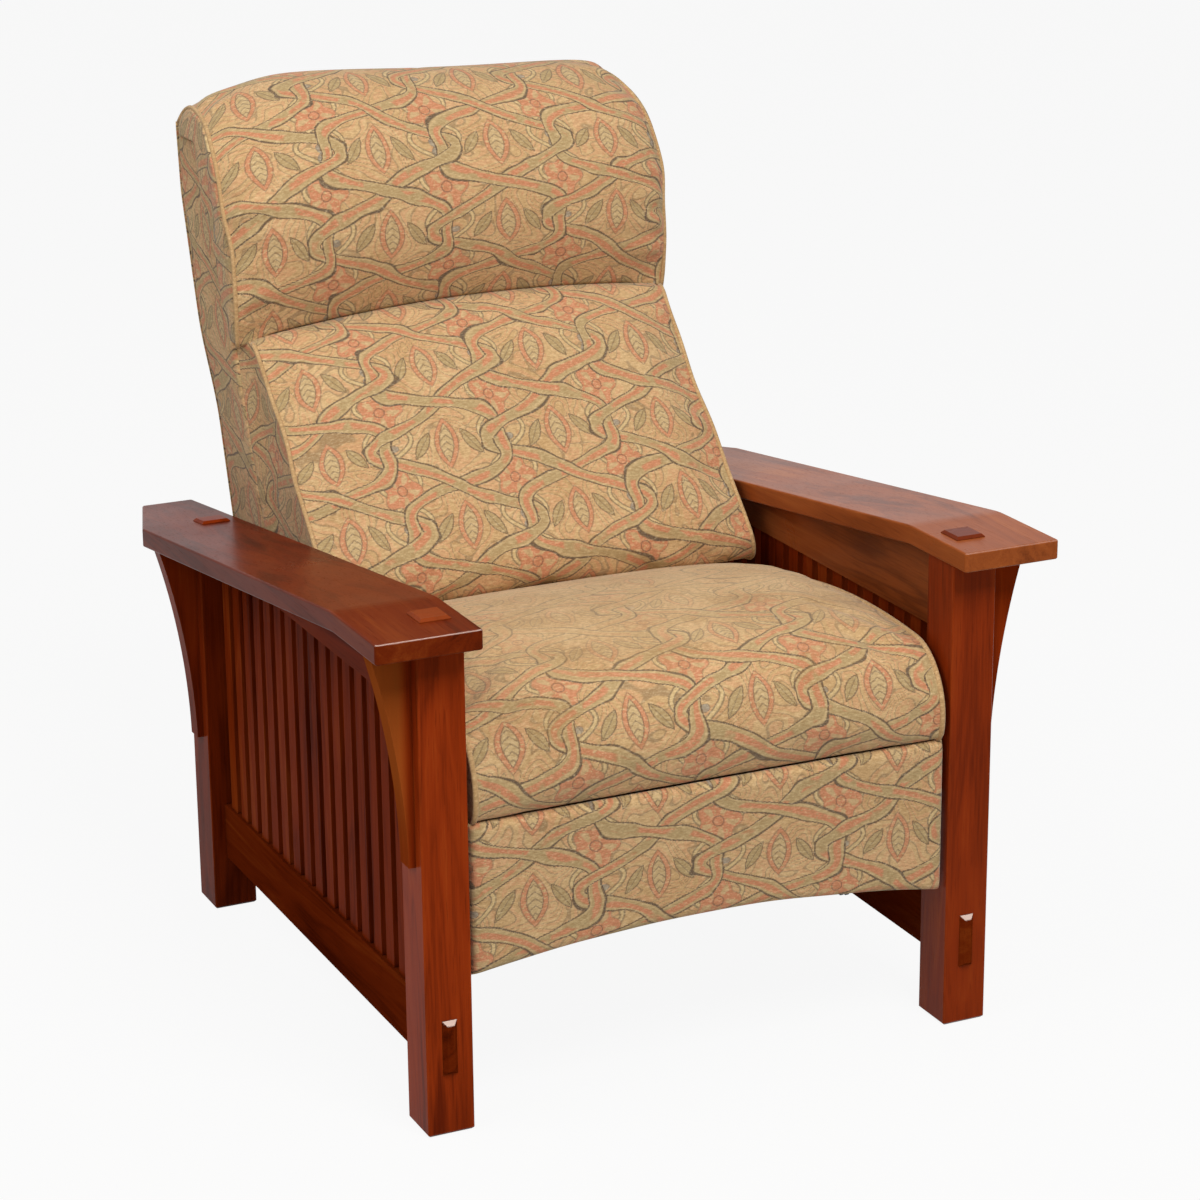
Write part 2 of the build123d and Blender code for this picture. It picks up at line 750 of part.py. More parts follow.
# Pins of the linkage: each is fixed in one link or plate and turns in the next
seat_plate_outer_x = seat_layer_x + plate_thickness
swing_link_outer_x = swing_layer_x + plate_thickness
front_link_outer_x = front_link_layer_x + plate_thickness
drive_link_outer_x = drive_layer_x + plate_thickness
tilt_link_outer_x = tilt_layer_x + plate_thickness
seat_pivot_pins = [
    (seat_front_pivot, seat_layer_x, swing_link_outer_x),
    (seat_rear_pivot, seat_layer_x, swing_link_outer_x),
    (drive_pivot, drive_layer_x, seat_plate_outer_x),
    (guide_pivot, guide_layer_x, seat_plate_outer_x),
    (recline_pivot, drive_layer_x, seat_plate_outer_x),
]
front_link_pins = [
    (elbow_pivot, front_link_layer_x, drive_link_outer_x),
    (guide_end, guide_layer_x, front_link_outer_x),
]
tilt_link_pins = [(tilt_pivot, tilt_layer_x, drive_link_outer_x)]
footrest_pins = [
    (footrest_pivot, guide_layer_x, front_link_outer_x),
    (footrest_tilt_pivot, guide_layer_x, tilt_link_outer_x),
]
save(pin_group(seat_pivot_pins), "seat_pivot_pins")
save(pin_group(front_link_pins), "front_link_pins")
save(pin_group(tilt_link_pins), "tilt_link_pins")
save(pin_group(footrest_pins), "footrest_pins")


def footrest_outline(inset):
    """Front view of the footrest: straight sides and top, one long arch below."""
    half = footrest_width / 2 - inset
    foot = footrest_side_bottom + inset
    with BuildSketch(Plane.XY) as outline:
        with BuildLine():
            Polyline((-half, foot), (-half, footrest_top - inset), (half, footrest_top - inset), (half, foot))
            ThreePointArc((half, foot), (0, foot + footrest_arch_rise), (-half, foot))
        make_face()
    return outline.sketch


# Footrest board and its padded front
with BuildPart() as footrest_board:
    with BuildSketch(cross_plane(footrest_board_rear)):
        add(footrest_outline(footrest_board_inset))
    extrude(amount=footrest_board_thickness)
save(footrest_board.part, "footrest_board")

with BuildPart() as footrest_pad:
    with BuildSketch(cross_plane(footrest_board_front)):
        add(footrest_outline(0))
    extrude(amount=footrest_pad_thickness)
    fillet(faces().sort_by(Axis.Y)[0].edges(), radius=footrest_pad_edge_round)
save(footrest_pad.part, "footrest_pad")

# Brackets behind the footrest board: a plate round both pivots and a flange on the board
with BuildPart() as footrest_brackets:
    for side in (-1, 1):
        bracket_top = footrest_pivot[1] + bracket_margin
        bracket_foot = footrest_tilt_pivot[1] - bracket_margin
        with BuildSketch(side_plane(side * guide_layer_x)):
            with Locations(footrest_pivot, footrest_tilt_pivot):
                Circle(bracket_margin)
            with Locations((footrest_board_rear + plate_thickness / 2, (bracket_top + bracket_foot) / 2)):
                Rectangle(plate_thickness, bracket_top - bracket_foot)
            make_hull()
            with Locations(footrest_pivot, footrest_tilt_pivot):
                Circle(pin_radius, mode=Mode.SUBTRACT)
        extrude(amount=side * plate_thickness)
        with BuildSketch(cross_plane(footrest_board_rear)):
            flange_x = guide_layer_x + plate_thickness - bracket_flange_width / 2
            with Locations((side * flange_x, (bracket_top + bracket_foot) / 2)):
                Rectangle(bracket_flange_width, bracket_top - bracket_foot)
        extrude(amount=-plate_thickness)
save(footrest_brackets.part, "footrest_brackets")

# The back's rear face, and the front line that its cushions rest on
rear_tan = tan(radians(back_rear_tilt))
back_side_outer_x = drive_layer_x


def rear_line(z):
    """Distance back of the back's outer rear face at a height."""
    return overall_depth - (back_height - z) * rear_tan


back_inner_rear = back_panel_thickness / cos(radians(back_rear_tilt))
back_front_top = (rear_line(back_frame_top) - back_frame_top_depth, back_frame_top)
back_front_foot = (back_front_foot_y, back_front_foot_height)
back_front_angle = degrees(
    atan2(back_front_top[1] - back_front_foot[1], back_front_foot[0] - back_front_top[0])
)


def front_line(z):
    """Distance back of the frame's front edge, which the cushions lean on, at a height."""
    share = (z - back_front_foot_height) / (back_frame_top - back_front_foot_height)
    return back_front_foot_y + share * (back_front_top[0] - back_front_foot_y)


def back_side_outline():
    """Side view of the back's wedge-shaped side panel."""
    with BuildSketch(Plane.XY) as outline:
        with BuildLine():
            Polyline(
                back_front_foot,
                back_front_top,
                (rear_line(back_frame_top) - back_inner_rear, back_frame_top),
                (rear_line(back_bottom) - back_inner_rear, back_bottom),
                (back_front_foot_y + back_foot_depth, back_bottom),
                close=True,
            )
        make_face()
    return outline.sketch


def back_side_piece(x, side, thickness):
    """One upright wedge-shaped piece of the back's side, at x and outwards."""
    with BuildPart() as panel:
        with BuildSketch(side_plane(side * x)):
            add(back_side_outline())
        extrude(amount=side * thickness)
    return panel.part


def frame_point(z, proud):
    """Point on the frame's front line at a height, moved forward off the line by "proud"."""
    return (front_line(z) - proud / cos(radians(back_front_tilt)), z)


# Back frame: side panels and brackets, bolted together below the lumbar cushion
back_front_tilt = back_front_angle - 90
bracket_far = along(frame_point(back_front_foot_height, -back_bracket_width), back_front_angle, back_bracket_reach)
bracket_angle = degrees(atan2(bracket_far[1] - recline_pivot[1], recline_pivot[0] - bracket_far[0]))
back_bolt_points = [bracket_far, along(bracket_far, bracket_angle, -back_bolt_spacing)]
side_inner_x = back_side_outer_x - back_side_thickness
cover_inner_x = back_side_outer_x + plate_thickness
for side, word in ((-1, "left"), (1, "right")):
    with BuildPart() as back_side_panel:
        add(back_side_piece(side_inner_x, side, back_side_thickness))
        with BuildSketch(side_plane(side * side_inner_x)):
            with Locations(*back_bolt_points):
                Circle(back_bolt_radius)
        extrude(amount=side * back_side_thickness, mode=Mode.SUBTRACT)
    save(back_side_panel.part, "back_side_panel_" + word)
    save(back_side_piece(cover_inner_x, side, back_cover_thickness), "back_side_cover_" + word)
back_bolts = [(point, side_inner_x, cover_inner_x) for point in back_bolt_points]
save(pin_group(back_bolts, back_bolt_radius), "back_bracket_bolts")
bracket_holes = [(recline_pivot, pin_hole)] + [(point, back_bolt_radius) for point in back_bolt_points]
save(link_pair(drive_layer_x, [recline_pivot, bracket_far], back_bracket_width, bracket_holes), "back_brackets")


def back_band(z, thickness, height, forward):
    """Level bar across the back along its front line, behind the line or in front of it."""
    hold = Align.MAX if forward else Align.MIN
    reach = back_side_outer_x if forward else side_inner_x
    with BuildPart() as band:
        with BuildSketch(side_plane(-reach)):
            with Locations(Location((front_line(z), z, 0), (0, 0, -back_front_tilt))):
                Rectangle(thickness, height, align=(hold, Align.CENTER))
        extrude(amount=2 * reach)
    return band.part


# Rails across the back, at its foot, behind the crease and at its top
back_rail_heights = (
    back_front_foot_height + back_rail_inset,
    crease_height,
    back_frame_top - back_rail_inset,
)
with BuildPart() as back_cross_rails:
    for rail_height in back_rail_heights:
        add(back_band(rail_height, back_rail_thickness, back_rail_height, False))
save(back_cross_rails.part, "back_cross_rails")

# Webbing across the back, in front of the frame
web_start = back_front_foot_height + back_webbing_width
web_pitch = (back_frame_top - back_webbing_width - web_start) / (back_web_rows - 1)
with BuildPart() as back_webbing:
    for row in range(back_web_rows):
        add(back_band(web_start + row * web_pitch, back_webbing_thickness, back_webbing_width, True))
save(back_webbing.part, "back_webbing")

# Upholstered outer back panel, whose upper rear edge is the chair's rearmost line
cover_outer_x = cover_inner_x + back_cover_thickness
with BuildPart() as outer_back_panel:
    with BuildSketch(side_plane(-cover_outer_x)):
        with BuildLine():
            Polyline(
                (rear_line(back_bottom), back_bottom),
                (rear_line(back_height), back_height),
                (rear_line(back_height) - back_inner_rear, back_height),
                (rear_line(back_bottom) - back_inner_rear, back_bottom),
                close=True,
            )
        make_face()
    extrude(amount=2 * cover_outer_x)
save(outer_back_panel.part, "outer_back_panel")


def swelled(origin, size, row, swell):
    """Outline point from shares of a cushion's depth and height, moved out by its swell."""
    depth_share, height_share, forward_share, upward_share = row
    return (
        origin[0] + size[0] * depth_share - swell * forward_share,
        origin[1] + size[1] * height_share + swell * upward_share,
    )


def cushion(section, half_width, crown, draw, power=cushion_crown_power):
    """Crowned cushion: a loft through one outline that swells less and less towards both sides."""
    shares = [-share for share in reversed(cushion_station_shares)] + list(cushion_station_shares[1:])
    with BuildPart() as form:
        for share in shares:
            with BuildSketch(side_plane(share * half_width)):
                with BuildLine():
                    section((crown + draw) * sqrt(1 - abs(share) ** power) - draw)
                make_face()
        loft()
    return form.part


# Seat cushion: flat below, waterfall front and a crown that falls away to the back
seat_front_shares = ((0.008, 0, 0, 0), (0.003, 0.42, 0.3, 0), (0.085, 0.87, 0.3, 0.7))
seat_top_shares = ((0.085, 0.87, 0.3, 0.7), (0.43, 0.92, 0, 1), (1, 0.22, 0, 0.4))
seat_origin = (seat_cushion_front, seat_deck_height)
seat_size = (seat_cushion_depth, seat_cushion_height)


def seat_section(swell):
    """Side outline of the seat cushion."""
    front_points = [swelled(seat_origin, seat_size, row, swell) for row in seat_front_shares]
    top_points = [swelled(seat_origin, seat_size, row, swell) for row in seat_top_shares]
    rear_foot = (top_points[-1][0], seat_deck_height)
    Line(rear_foot, front_points[0])
    ThreePointArc(*front_points)
    ThreePointArc(*top_points)
    Line(top_points[-1], rear_foot)


seat_cushion = cushion(seat_section, seat_cushion_width / 2, seat_cushion_crown, seat_cushion_side_draw)
save(seat_cushion, "seat_cushion")

# Lumbar cushion: a wedge that is thick at the seat and thin at the crease
lumbar_nose_shares = ((0.105, 0.0, 0, 0), (0.012, 0.03, 0.3, 0), (0.0, 0.14, 0.5, 0.2))
lumbar_face_shares = ((0.0, 0.14, 0.5, 0.2), (0.385, 0.57, 0.8, 0.6), (0.8, 0.965, 0.5, 0.2))
lumbar_brow_shares = ((0.8, 0.965, 0.5, 0.2), (0.825, 0.992, 0.3, 0), (0.86, 1, 0, 0))
lumbar_front = front_line(lumbar_bottom) - lumbar_foot_depth
lumbar_origin = (lumbar_front, lumbar_bottom)
lumbar_top_rear = frame_point(crease_height, back_webbing_thickness)
lumbar_bottom_rear = frame_point(lumbar_bottom - lumbar_heel_drop, back_webbing_thickness)
lumbar_size = (lumbar_top_rear[0] - lumbar_front, crease_height - lumbar_bottom)


def lumbar_section(swell):
    """Side outline of the lumbar cushion."""
    nose = [swelled(lumbar_origin, lumbar_size, row, swell) for row in lumbar_nose_shares]
    face = [swelled(lumbar_origin, lumbar_size, row, swell) for row in lumbar_face_shares]
    brow = [swelled(lumbar_origin, lumbar_size, row, swell) for row in lumbar_brow_shares]
    Line(lumbar_bottom_rear, nose[0])
    ThreePointArc(*nose)
    ThreePointArc(*face)
    ThreePointArc(*brow)
    Line(brow[-1], lumbar_top_rear)
    Line(lumbar_top_rear, lumbar_bottom_rear)


with BuildPart() as lumbar_cushion:
    add(cushion(lumbar_section, lumbar_bottom_width / 2, lumbar_crown, cushion_side_draw))
    with BuildSketch(cross_plane(0)):
        with BuildLine():
            Polyline(
                (-lumbar_bottom_width / 2, lumbar_bottom - lumbar_heel_drop - cut_overrun),
                (lumbar_bottom_width / 2, lumbar_bottom - lumbar_heel_drop - cut_overrun),
                (lumbar_top_width / 2, crease_height + cut_overrun),
                (-lumbar_top_width / 2, crease_height + cut_overrun),
                close=True,
            )
        make_face()
    extrude(amount=-overall_depth, mode=Mode.INTERSECT)
save(lumbar_cushion.part, "lumbar_cushion")

# Head cushion: a full roll that hangs over the crease and wraps over the top of the frame
head_front = front_line(crease_height) - head_foot_depth
head_origin = (head_front, crease_height)
head_size = (overall_depth - back_inner_rear - head_front, head_height)
head_face_shares = ((0, 0, 0, 0), (0.06, 0.37, 1, 0), (0.225, 0.72, 1, 0.55))
head_brow_shares = ((0.225, 0.72, 1, 0.55), (0.42, 0.893, 0.7, 0.8), (0.74, 0.99, 0.2, 1))
head_crest_shares = ((0.74, 0.99, 0.2, 1), (0.91, 0.965, 0, 0.6))
head_heel = frame_point(crease_height, back_webbing_thickness)
head_notch = frame_point(back_frame_top, back_webbing_thickness)


def head_section(swell):
    """Side outline of the head cushion."""
    face = [swelled(head_origin, head_size, row, swell) for row in head_face_shares]
    brow = [swelled(head_origin, head_size, row, swell) for row in head_brow_shares]
    crest = [swelled(head_origin, head_size, row, swell) for row in head_crest_shares]
    panel_top = (rear_line(back_height) - back_inner_rear, back_height)
    panel_foot = (rear_line(back_frame_top) - back_inner_rear, back_frame_top)
    ThreePointArc(*face)
    ThreePointArc(*brow)
    ThreePointArc(*crest, panel_top)
    Polyline(panel_top, panel_foot, head_notch, head_heel, face[0])


save(cushion(head_section, head_width / 2, head_crown, cushion_side_draw, head_crown_power), "head_cushion")

# Pivots of the joints, from the origin
pivots = {
    "swing front": swing_front_pivot,
    "swing rear": swing_rear_pivot,
    "seat front": seat_front_pivot,
    "seat rear": seat_rear_pivot,
    "recline": recline_pivot,
    "drive": drive_pivot,
    "elbow": elbow_pivot,
    "footrest": footrest_pivot,
    "tilt": tilt_pivot,
    "footrest tilt": footrest_tilt_pivot,
    "guide": guide_pivot,
    "guide end": guide_end,
}
for name, point in pivots.items():
    print(name, "pivot y", round(front + point[0], 4), "z", round(point[1], 4))
print("front link ratio", round(front_link_ratio, 5))
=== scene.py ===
from math import cos, pi, radians, sin, sqrt, tan

import bpy
import numpy as np
from mathutils import Matrix, Vector
from mathutils.noise import noise as smooth_noise


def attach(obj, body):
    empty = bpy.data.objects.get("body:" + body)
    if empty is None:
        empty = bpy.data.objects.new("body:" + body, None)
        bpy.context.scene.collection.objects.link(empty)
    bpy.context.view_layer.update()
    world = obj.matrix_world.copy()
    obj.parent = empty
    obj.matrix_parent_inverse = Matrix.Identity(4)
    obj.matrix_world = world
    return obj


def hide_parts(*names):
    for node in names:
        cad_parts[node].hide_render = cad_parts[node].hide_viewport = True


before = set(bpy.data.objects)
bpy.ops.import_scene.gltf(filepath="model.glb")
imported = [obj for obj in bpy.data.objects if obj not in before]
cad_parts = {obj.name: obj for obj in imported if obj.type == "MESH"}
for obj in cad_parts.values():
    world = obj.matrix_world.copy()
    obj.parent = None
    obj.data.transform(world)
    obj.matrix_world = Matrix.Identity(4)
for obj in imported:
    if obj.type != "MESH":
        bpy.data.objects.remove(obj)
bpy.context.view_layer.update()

# Everything is in metres, in the frame of the CAD part. Sections are drawn as (back, up) from the arms' front
# edge, which lies FRONT from the middle of the chair. On the cloth that middle is at CLOTH_MIDDLE.
MM = 0.001
FRONT = -0.504
LEG_FACE = FRONT + 0.038
SIDES = ((-1, "left"), (1, "right"))
CLOTH_MIDDLE = 0.098


# Shader helpers: a Term is a socket that can be summed and multiplied like a number

class Term:
    """A shader socket that ordinary arithmetic can be written with."""

    def __init__(self, tree, socket):
        self.tree = tree
        self.socket = socket

    def math(self, operation, *others):
        node = add_node(self.tree, "Math", dict(enumerate((self, *others))))
        node.operation = operation
        return Term(self.tree, node.outputs[0])

    def __add__(self, other):
        return self.math("ADD", other)

    def __sub__(self, other):
        return self.math("SUBTRACT", other)

    def __mul__(self, other):
        return self.math("MULTIPLY", other)

    def __truediv__(self, other):
        return self.math("DIVIDE", other)

    def __abs__(self):
        return self.math("ABSOLUTE")

    def rest(self, share=1.0):
        """What is left of 1, scaled."""
        return self.math("MULTIPLY_ADD", -share, share)

    def step(self, low, high):
        """0 below low and 1 above high, with a smooth rise between them."""
        node = add_node(self.tree, "MapRange", {"Value": self, "From Min": low, "From Max": high})
        node.interpolation_type = "SMOOTHSTEP"
        return Term(self.tree, node.outputs["Result"])

    def below(self, edge, soft):
        """1 below the edge and 0 above it."""
        return self.step(edge - soft, edge + soft).rest()

    def near(self, centre, width, soft):
        """1 within half the width of the centre."""
        return abs(self - centre).below(width / 2, soft)

    def cell(self, pitch, shift=0.0):
        """Signed distance from the nearest multiple of the pitch, moved by a share of it."""
        part = (self / pitch + (0.5 - shift)).math("FRACT")
        return (part - 0.5) * pitch


def put(tree, value, socket):
    """Links a Term or a socket, or sets a plain value."""
    if isinstance(value, Term):
        tree.links.new(value.socket, socket)
    elif isinstance(value, bpy.types.NodeSocket):
        tree.links.new(value, socket)
    else:
        socket.default_value = value


def set_inputs(tree, node, values):
    for name, value in values.items():
        put(tree, value, node.inputs[name])


def add_node(tree, kind, values=()):
    """A new shader node, with the inputs that are named or numbered in values."""
    node = tree.nodes.new("ShaderNode" + kind)
    set_inputs(tree, node, dict(values))
    return node


def linear(red, green, blue):
    """Linear colour from an sRGB colour given as 0 to 255."""
    def one(c):
        c = c / 255
        return c / 12.92 if c <= 0.04045 else ((c + 0.055) / 1.055) ** 2.4
    return (one(red), one(green), one(blue), 1.0)


def mix(tree, share, under, over, blend="MIX"):
    """Colour socket that goes from one colour to another."""
    node = add_node(tree, "Mix")
    node.data_type = "RGBA"
    node.blend_type = blend
    set_inputs(tree, node, {"Factor": share, 6: under, 7: over})
    return node.outputs[2]


def vector(tree, x, y, z):
    return add_node(tree, "CombineXYZ", {0: x, 1: y, 2: z}).outputs[0]


def noise(tree, place, scale, detail=2.0, roughness=0.5, distortion=0.0):
    """Noise at a place, which is a socket or three values."""
    if isinstance(place, tuple):
        place = vector(tree, *place)
    values = {"Scale": scale, "Detail": detail, "Roughness": roughness, "Distortion": distortion}
    return Term(tree, add_node(tree, "TexNoise", {"Vector": place, **values}).outputs["Fac"])


def bump(tree, height, distance, strength, under=None):
    node = add_node(tree, "Bump", {"Strength": strength, "Distance": distance, "Height": height})
    if under is not None:
        put(tree, under, node.inputs["Normal"])
    return node.outputs[0]


def new_material(name):
    """An empty material and its Principled shader."""
    material = bpy.data.materials.new(name)
    material.use_nodes = True
    tree = material.node_tree
    tree.nodes.clear()
    shader = add_node(tree, "BsdfPrincipled")
    add_node(tree, "OutputMaterial", {0: shader.outputs[0]})
    return material, tree, shader


def parts(tree, socket):
    """The three parts of a vector socket as Terms."""
    split = add_node(tree, "SeparateXYZ", {0: socket})
    return [Term(tree, part) for part in split.outputs]


def object_place(tree):
    """The object coordinates as a socket."""
    return add_node(tree, "TexCoord").outputs["Object"]


# Materials

CHERRY_TONES = (linear(92, 27, 7), linear(148, 52, 14), linear(184, 84, 30))
BROWN_TONES = (linear(96, 42, 17), linear(146, 74, 33), linear(178, 104, 52))
RAW_TONES = (linear(150, 112, 70), linear(188, 152, 104), linear(214, 184, 138))
# The first colour here is a painted highlight for up-facing edges and bevels
# The last colour here darkens joints: painted shade, with the stain that gathers there
GLINT_COLOUR, SAPWOOD, JOINT_SHADE_AND_STAIN = linear(230, 206, 194), linear(160, 84, 32), linear(36, 12, 6)
SAP_EDGE = -0.380


def timber(tree, across, other, along, seed, tones):
    """Growth figure drawn out along the grain, with fine fibres and dark pores over it. Gives the colour, the
    figure, the fibres and the pores."""
    dark, middle, pale = tones
    place = (across + seed * 3.1, other + seed * 1.7, along * 0.09 + seed)
    figure = noise(tree, place, 17.0, 3.0, 0.55, 0.7)
    rings = abs((figure * 7.0).math("FRACT") - 0.5) * 2.0
    fibre = noise(tree, (across + seed, other + seed * 2.3, along * 0.03), 420.0, 4.0, 0.6)
    pores = noise(tree, (across + seed, other, along * 0.04), 760.0, 1.0).step(0.60, 0.74)
    cloud = noise(tree, (across + seed * 5.0, other, along * 0.4), 7.0, 2.0)
    tone = figure * 0.42 + rings * 0.10 + fibre * 0.22 + cloud * 0.42
    colour = mix(tree, tone.step(0.36, 0.62), dark, middle)
    colour = mix(tree, tone.step(0.58, 0.86), colour, pale)
    return mix(tree, pores * 0.35, colour, dark), figure, fibre, pores


def rounded_normal(tree, radius):
    """The normal that the surface would have with its edges rounded."""
    edge = add_node(tree, "Bevel", {"Radius": radius})
    edge.samples = 4
    return edge.outputs[0]


def on_edge(tree, rounded):
    """1 where the rounded normal turns away from the surface's own, and 0 on the flat."""
    turn = add_node(tree, "VectorMath", {0: rounded, 1: add_node(tree, "NewGeometry").outputs["Normal"]})
    turn.operation = "DOT_PRODUCT"
    return Term(tree, turn.outputs["Value"]).below(0.97, 0.03)


def openness(tree, reach):
    """0 deep in a joint and 1 in the open."""
    corner = add_node(tree, "AmbientOcclusion", {"Distance": reach})
    corner.samples = 4
    return Term(tree, corner.outputs["AO"]).step(0.15, 0.80)


def wood(
    name, grain, seed, stain_and_painted_light, gloss=0.30, shine=0.10, tones=CHERRY_TONES, edge_wear_and_highlight=0.30, painted_glint=None, crown=None,
    sap=False,
):
    """Stained timber whose grain runs along one axis. stain_and_painted_light scales how dark it is, with
    painted shade and painted sheen on some pieces. edge_wear_and_highlight scales how pale its edges are,
    from wear and a painted highlight. painted_glint gives the place along the grain before which upper edges
    carry a painted highlight, the upward tilts between which they do, and its share. crown gives where the
    end grain starts, and its colour. sap shows a stripe of sapwood along the outer edge."""
    material, tree, shader = new_material(name)
    everywhere = object_place(tree)
    axes = parts(tree, everywhere)
    along = axes.pop("XYZ".index(grain))
    across, other = axes
    colour, figure, fibre, pores = timber(tree, across, other, along, seed, tones)
    rounded = rounded_normal(tree, 2.4 * MM)
    patches = noise(tree, everywhere, 38.0, 3.0).step(0.42, 0.62)
    # Paler edges: partly wear, partly a painted highlight where rounded edges catch the light; stronger on
    # the arms
    colour = mix(tree, on_edge(tree, rounded) * (patches * 0.6 + 0.4) * edge_wear_and_highlight, colour, tones[-1])
    # Darkens by the stain, which on some pieces also paints shade and sheen
    colour = mix(tree, 1.0, colour, (stain_and_painted_light, stain_and_painted_light, stain_and_painted_light, 1.0), "MULTIPLY")
    if sap:
        stripe = across.below(SAP_EDGE, 7.0 * MM) * (figure * 0.6 + 0.6)
        colour = mix(tree, stripe * 0.75, colour, SAPWOOD)
    if crown:
        start, end_grain = crown
        colour = mix(tree, along.step(start - 0.5 * MM, start) * (fibre * 0.5 + 0.5), colour, end_grain)
    # Painted highlight: up-facing rounded edges and bevels near the front turn pale, as if catching the light
    if painted_glint:
        start, low, high, glint_share = painted_glint
        lift = parts(tree, rounded)[2]
        upward = lift.step(low, low + 0.15) * lift.below(high, 0.03) * along.below(start, 0.8 * MM)
        colour = mix(tree, upward * glint_share, colour, GLINT_COLOUR)
    # Painted shade darkens the joints where ambient occlusion finds them, with the stain that gathers there
    colour = mix(tree, openness(tree, 7.0 * MM).rest(0.6), colour, JOINT_SHADE_AND_STAIN)
    smears = noise(tree, everywhere, 9.0, 3.0)
    set_inputs(tree, shader, {
        "Base Color": colour,
        "Roughness": smears * 0.14 + pores * 0.10 + (gloss - 0.07),
        "Specular IOR Level": shine,
        "Specular Tint": (1.0, 0.74, 0.50, 1.0),
        "Coat Weight": shine * 0.25,
        "Coat Roughness": 0.12,
        "Normal": bump(tree, fibre * 0.35 + pores * -0.65, 0.2 * MM, 0.3),
    })
    return material


def steel(name):
    """Plated strip steel with faint rolling marks."""
    material, tree, shader = new_material(name)
    place = object_place(tree)
    x, y, z = parts(tree, place)
    blotch = noise(tree, place, 30.0, 4.0, 0.6)
    marks = noise(tree, (x * 0.3, y, z * 6.0), 160.0, 3.0)
    set_inputs(tree, shader, {
        "Base Color": mix(tree, blotch.step(0.35, 0.7), linear(46.2, 46.2, 47.6), linear(66, 66, 68)),
        "Metallic": 0.85,
        "Roughness": marks * 0.2 + blotch * 0.15 + 0.25,
        "Normal": bump(tree, marks, 0.1 * MM, 0.3),
    })
    return material


def webbing(name):
    """Woven elastic webbing, tan with dark stripes."""
    material, tree, shader = new_material(name)
    place = object_place(tree)
    x, y, z = parts(tree, place)
    pitch = 3.0 * MM
    thread = (x * (2 * pi / pitch)).math("SINE") * (y * (2 * pi / pitch)).math("SINE")
    slub = noise(tree, place, 220.0, 2.0)
    colour = mix(tree, (thread * 0.25 + slub).step(0.3, 0.8), linear(112, 92, 66), linear(176, 150, 112))
    relief = bump(tree, thread + slub, 0.5 * MM, 0.6)
    set_inputs(tree, shader, {"Base Color": colour, "Roughness": 0.9, "Normal": relief})
    return material


class Drawing:
    """A cloth's drawing: fills laid over each other, and ink that a later fill can hide and is shown last."""

    def __init__(self, tree, ground, blank):
        self.tree, self.colour, self.ink = tree, ground, blank

    def fill(self, mask, colour, share=1.0):
        self.colour = mix(self.tree, mask * share, self.colour, colour)

    def cover(self, mask, colour, share=1.0):
        """A fill that also hides the ink below it."""
        self.fill(mask, colour, share)
        self.ink = self.ink * mask.rest()

    def line(self, mask, strength=1.0):
        self.ink = self.ink.math("MAXIMUM", mask * strength)


class Strand:
    """One family of woven strands: its distance from the middle line and how it is coloured."""

    def __init__(self, offset, slope, half, spread=1.0):
        self.distance = offset / (slope * slope + 1.0).math("SQRT") * spread
        self.away = abs(self.distance)
        self.inside = self.away.below(half + 0.0008, 0.0002)
        self.edge = self.away.near(half, 0.0019, 0.0003)

    def draw(self, drawing, tint, mask=None, strength=1.0):
        """Lays the strand over what is there, everywhere or where the mask says."""
        inside = self.inside if mask is None else self.inside * mask
        edge = self.edge if mask is None else self.edge * mask
        drawing.cover(inside, tint)
        drawing.line(edge, strength)


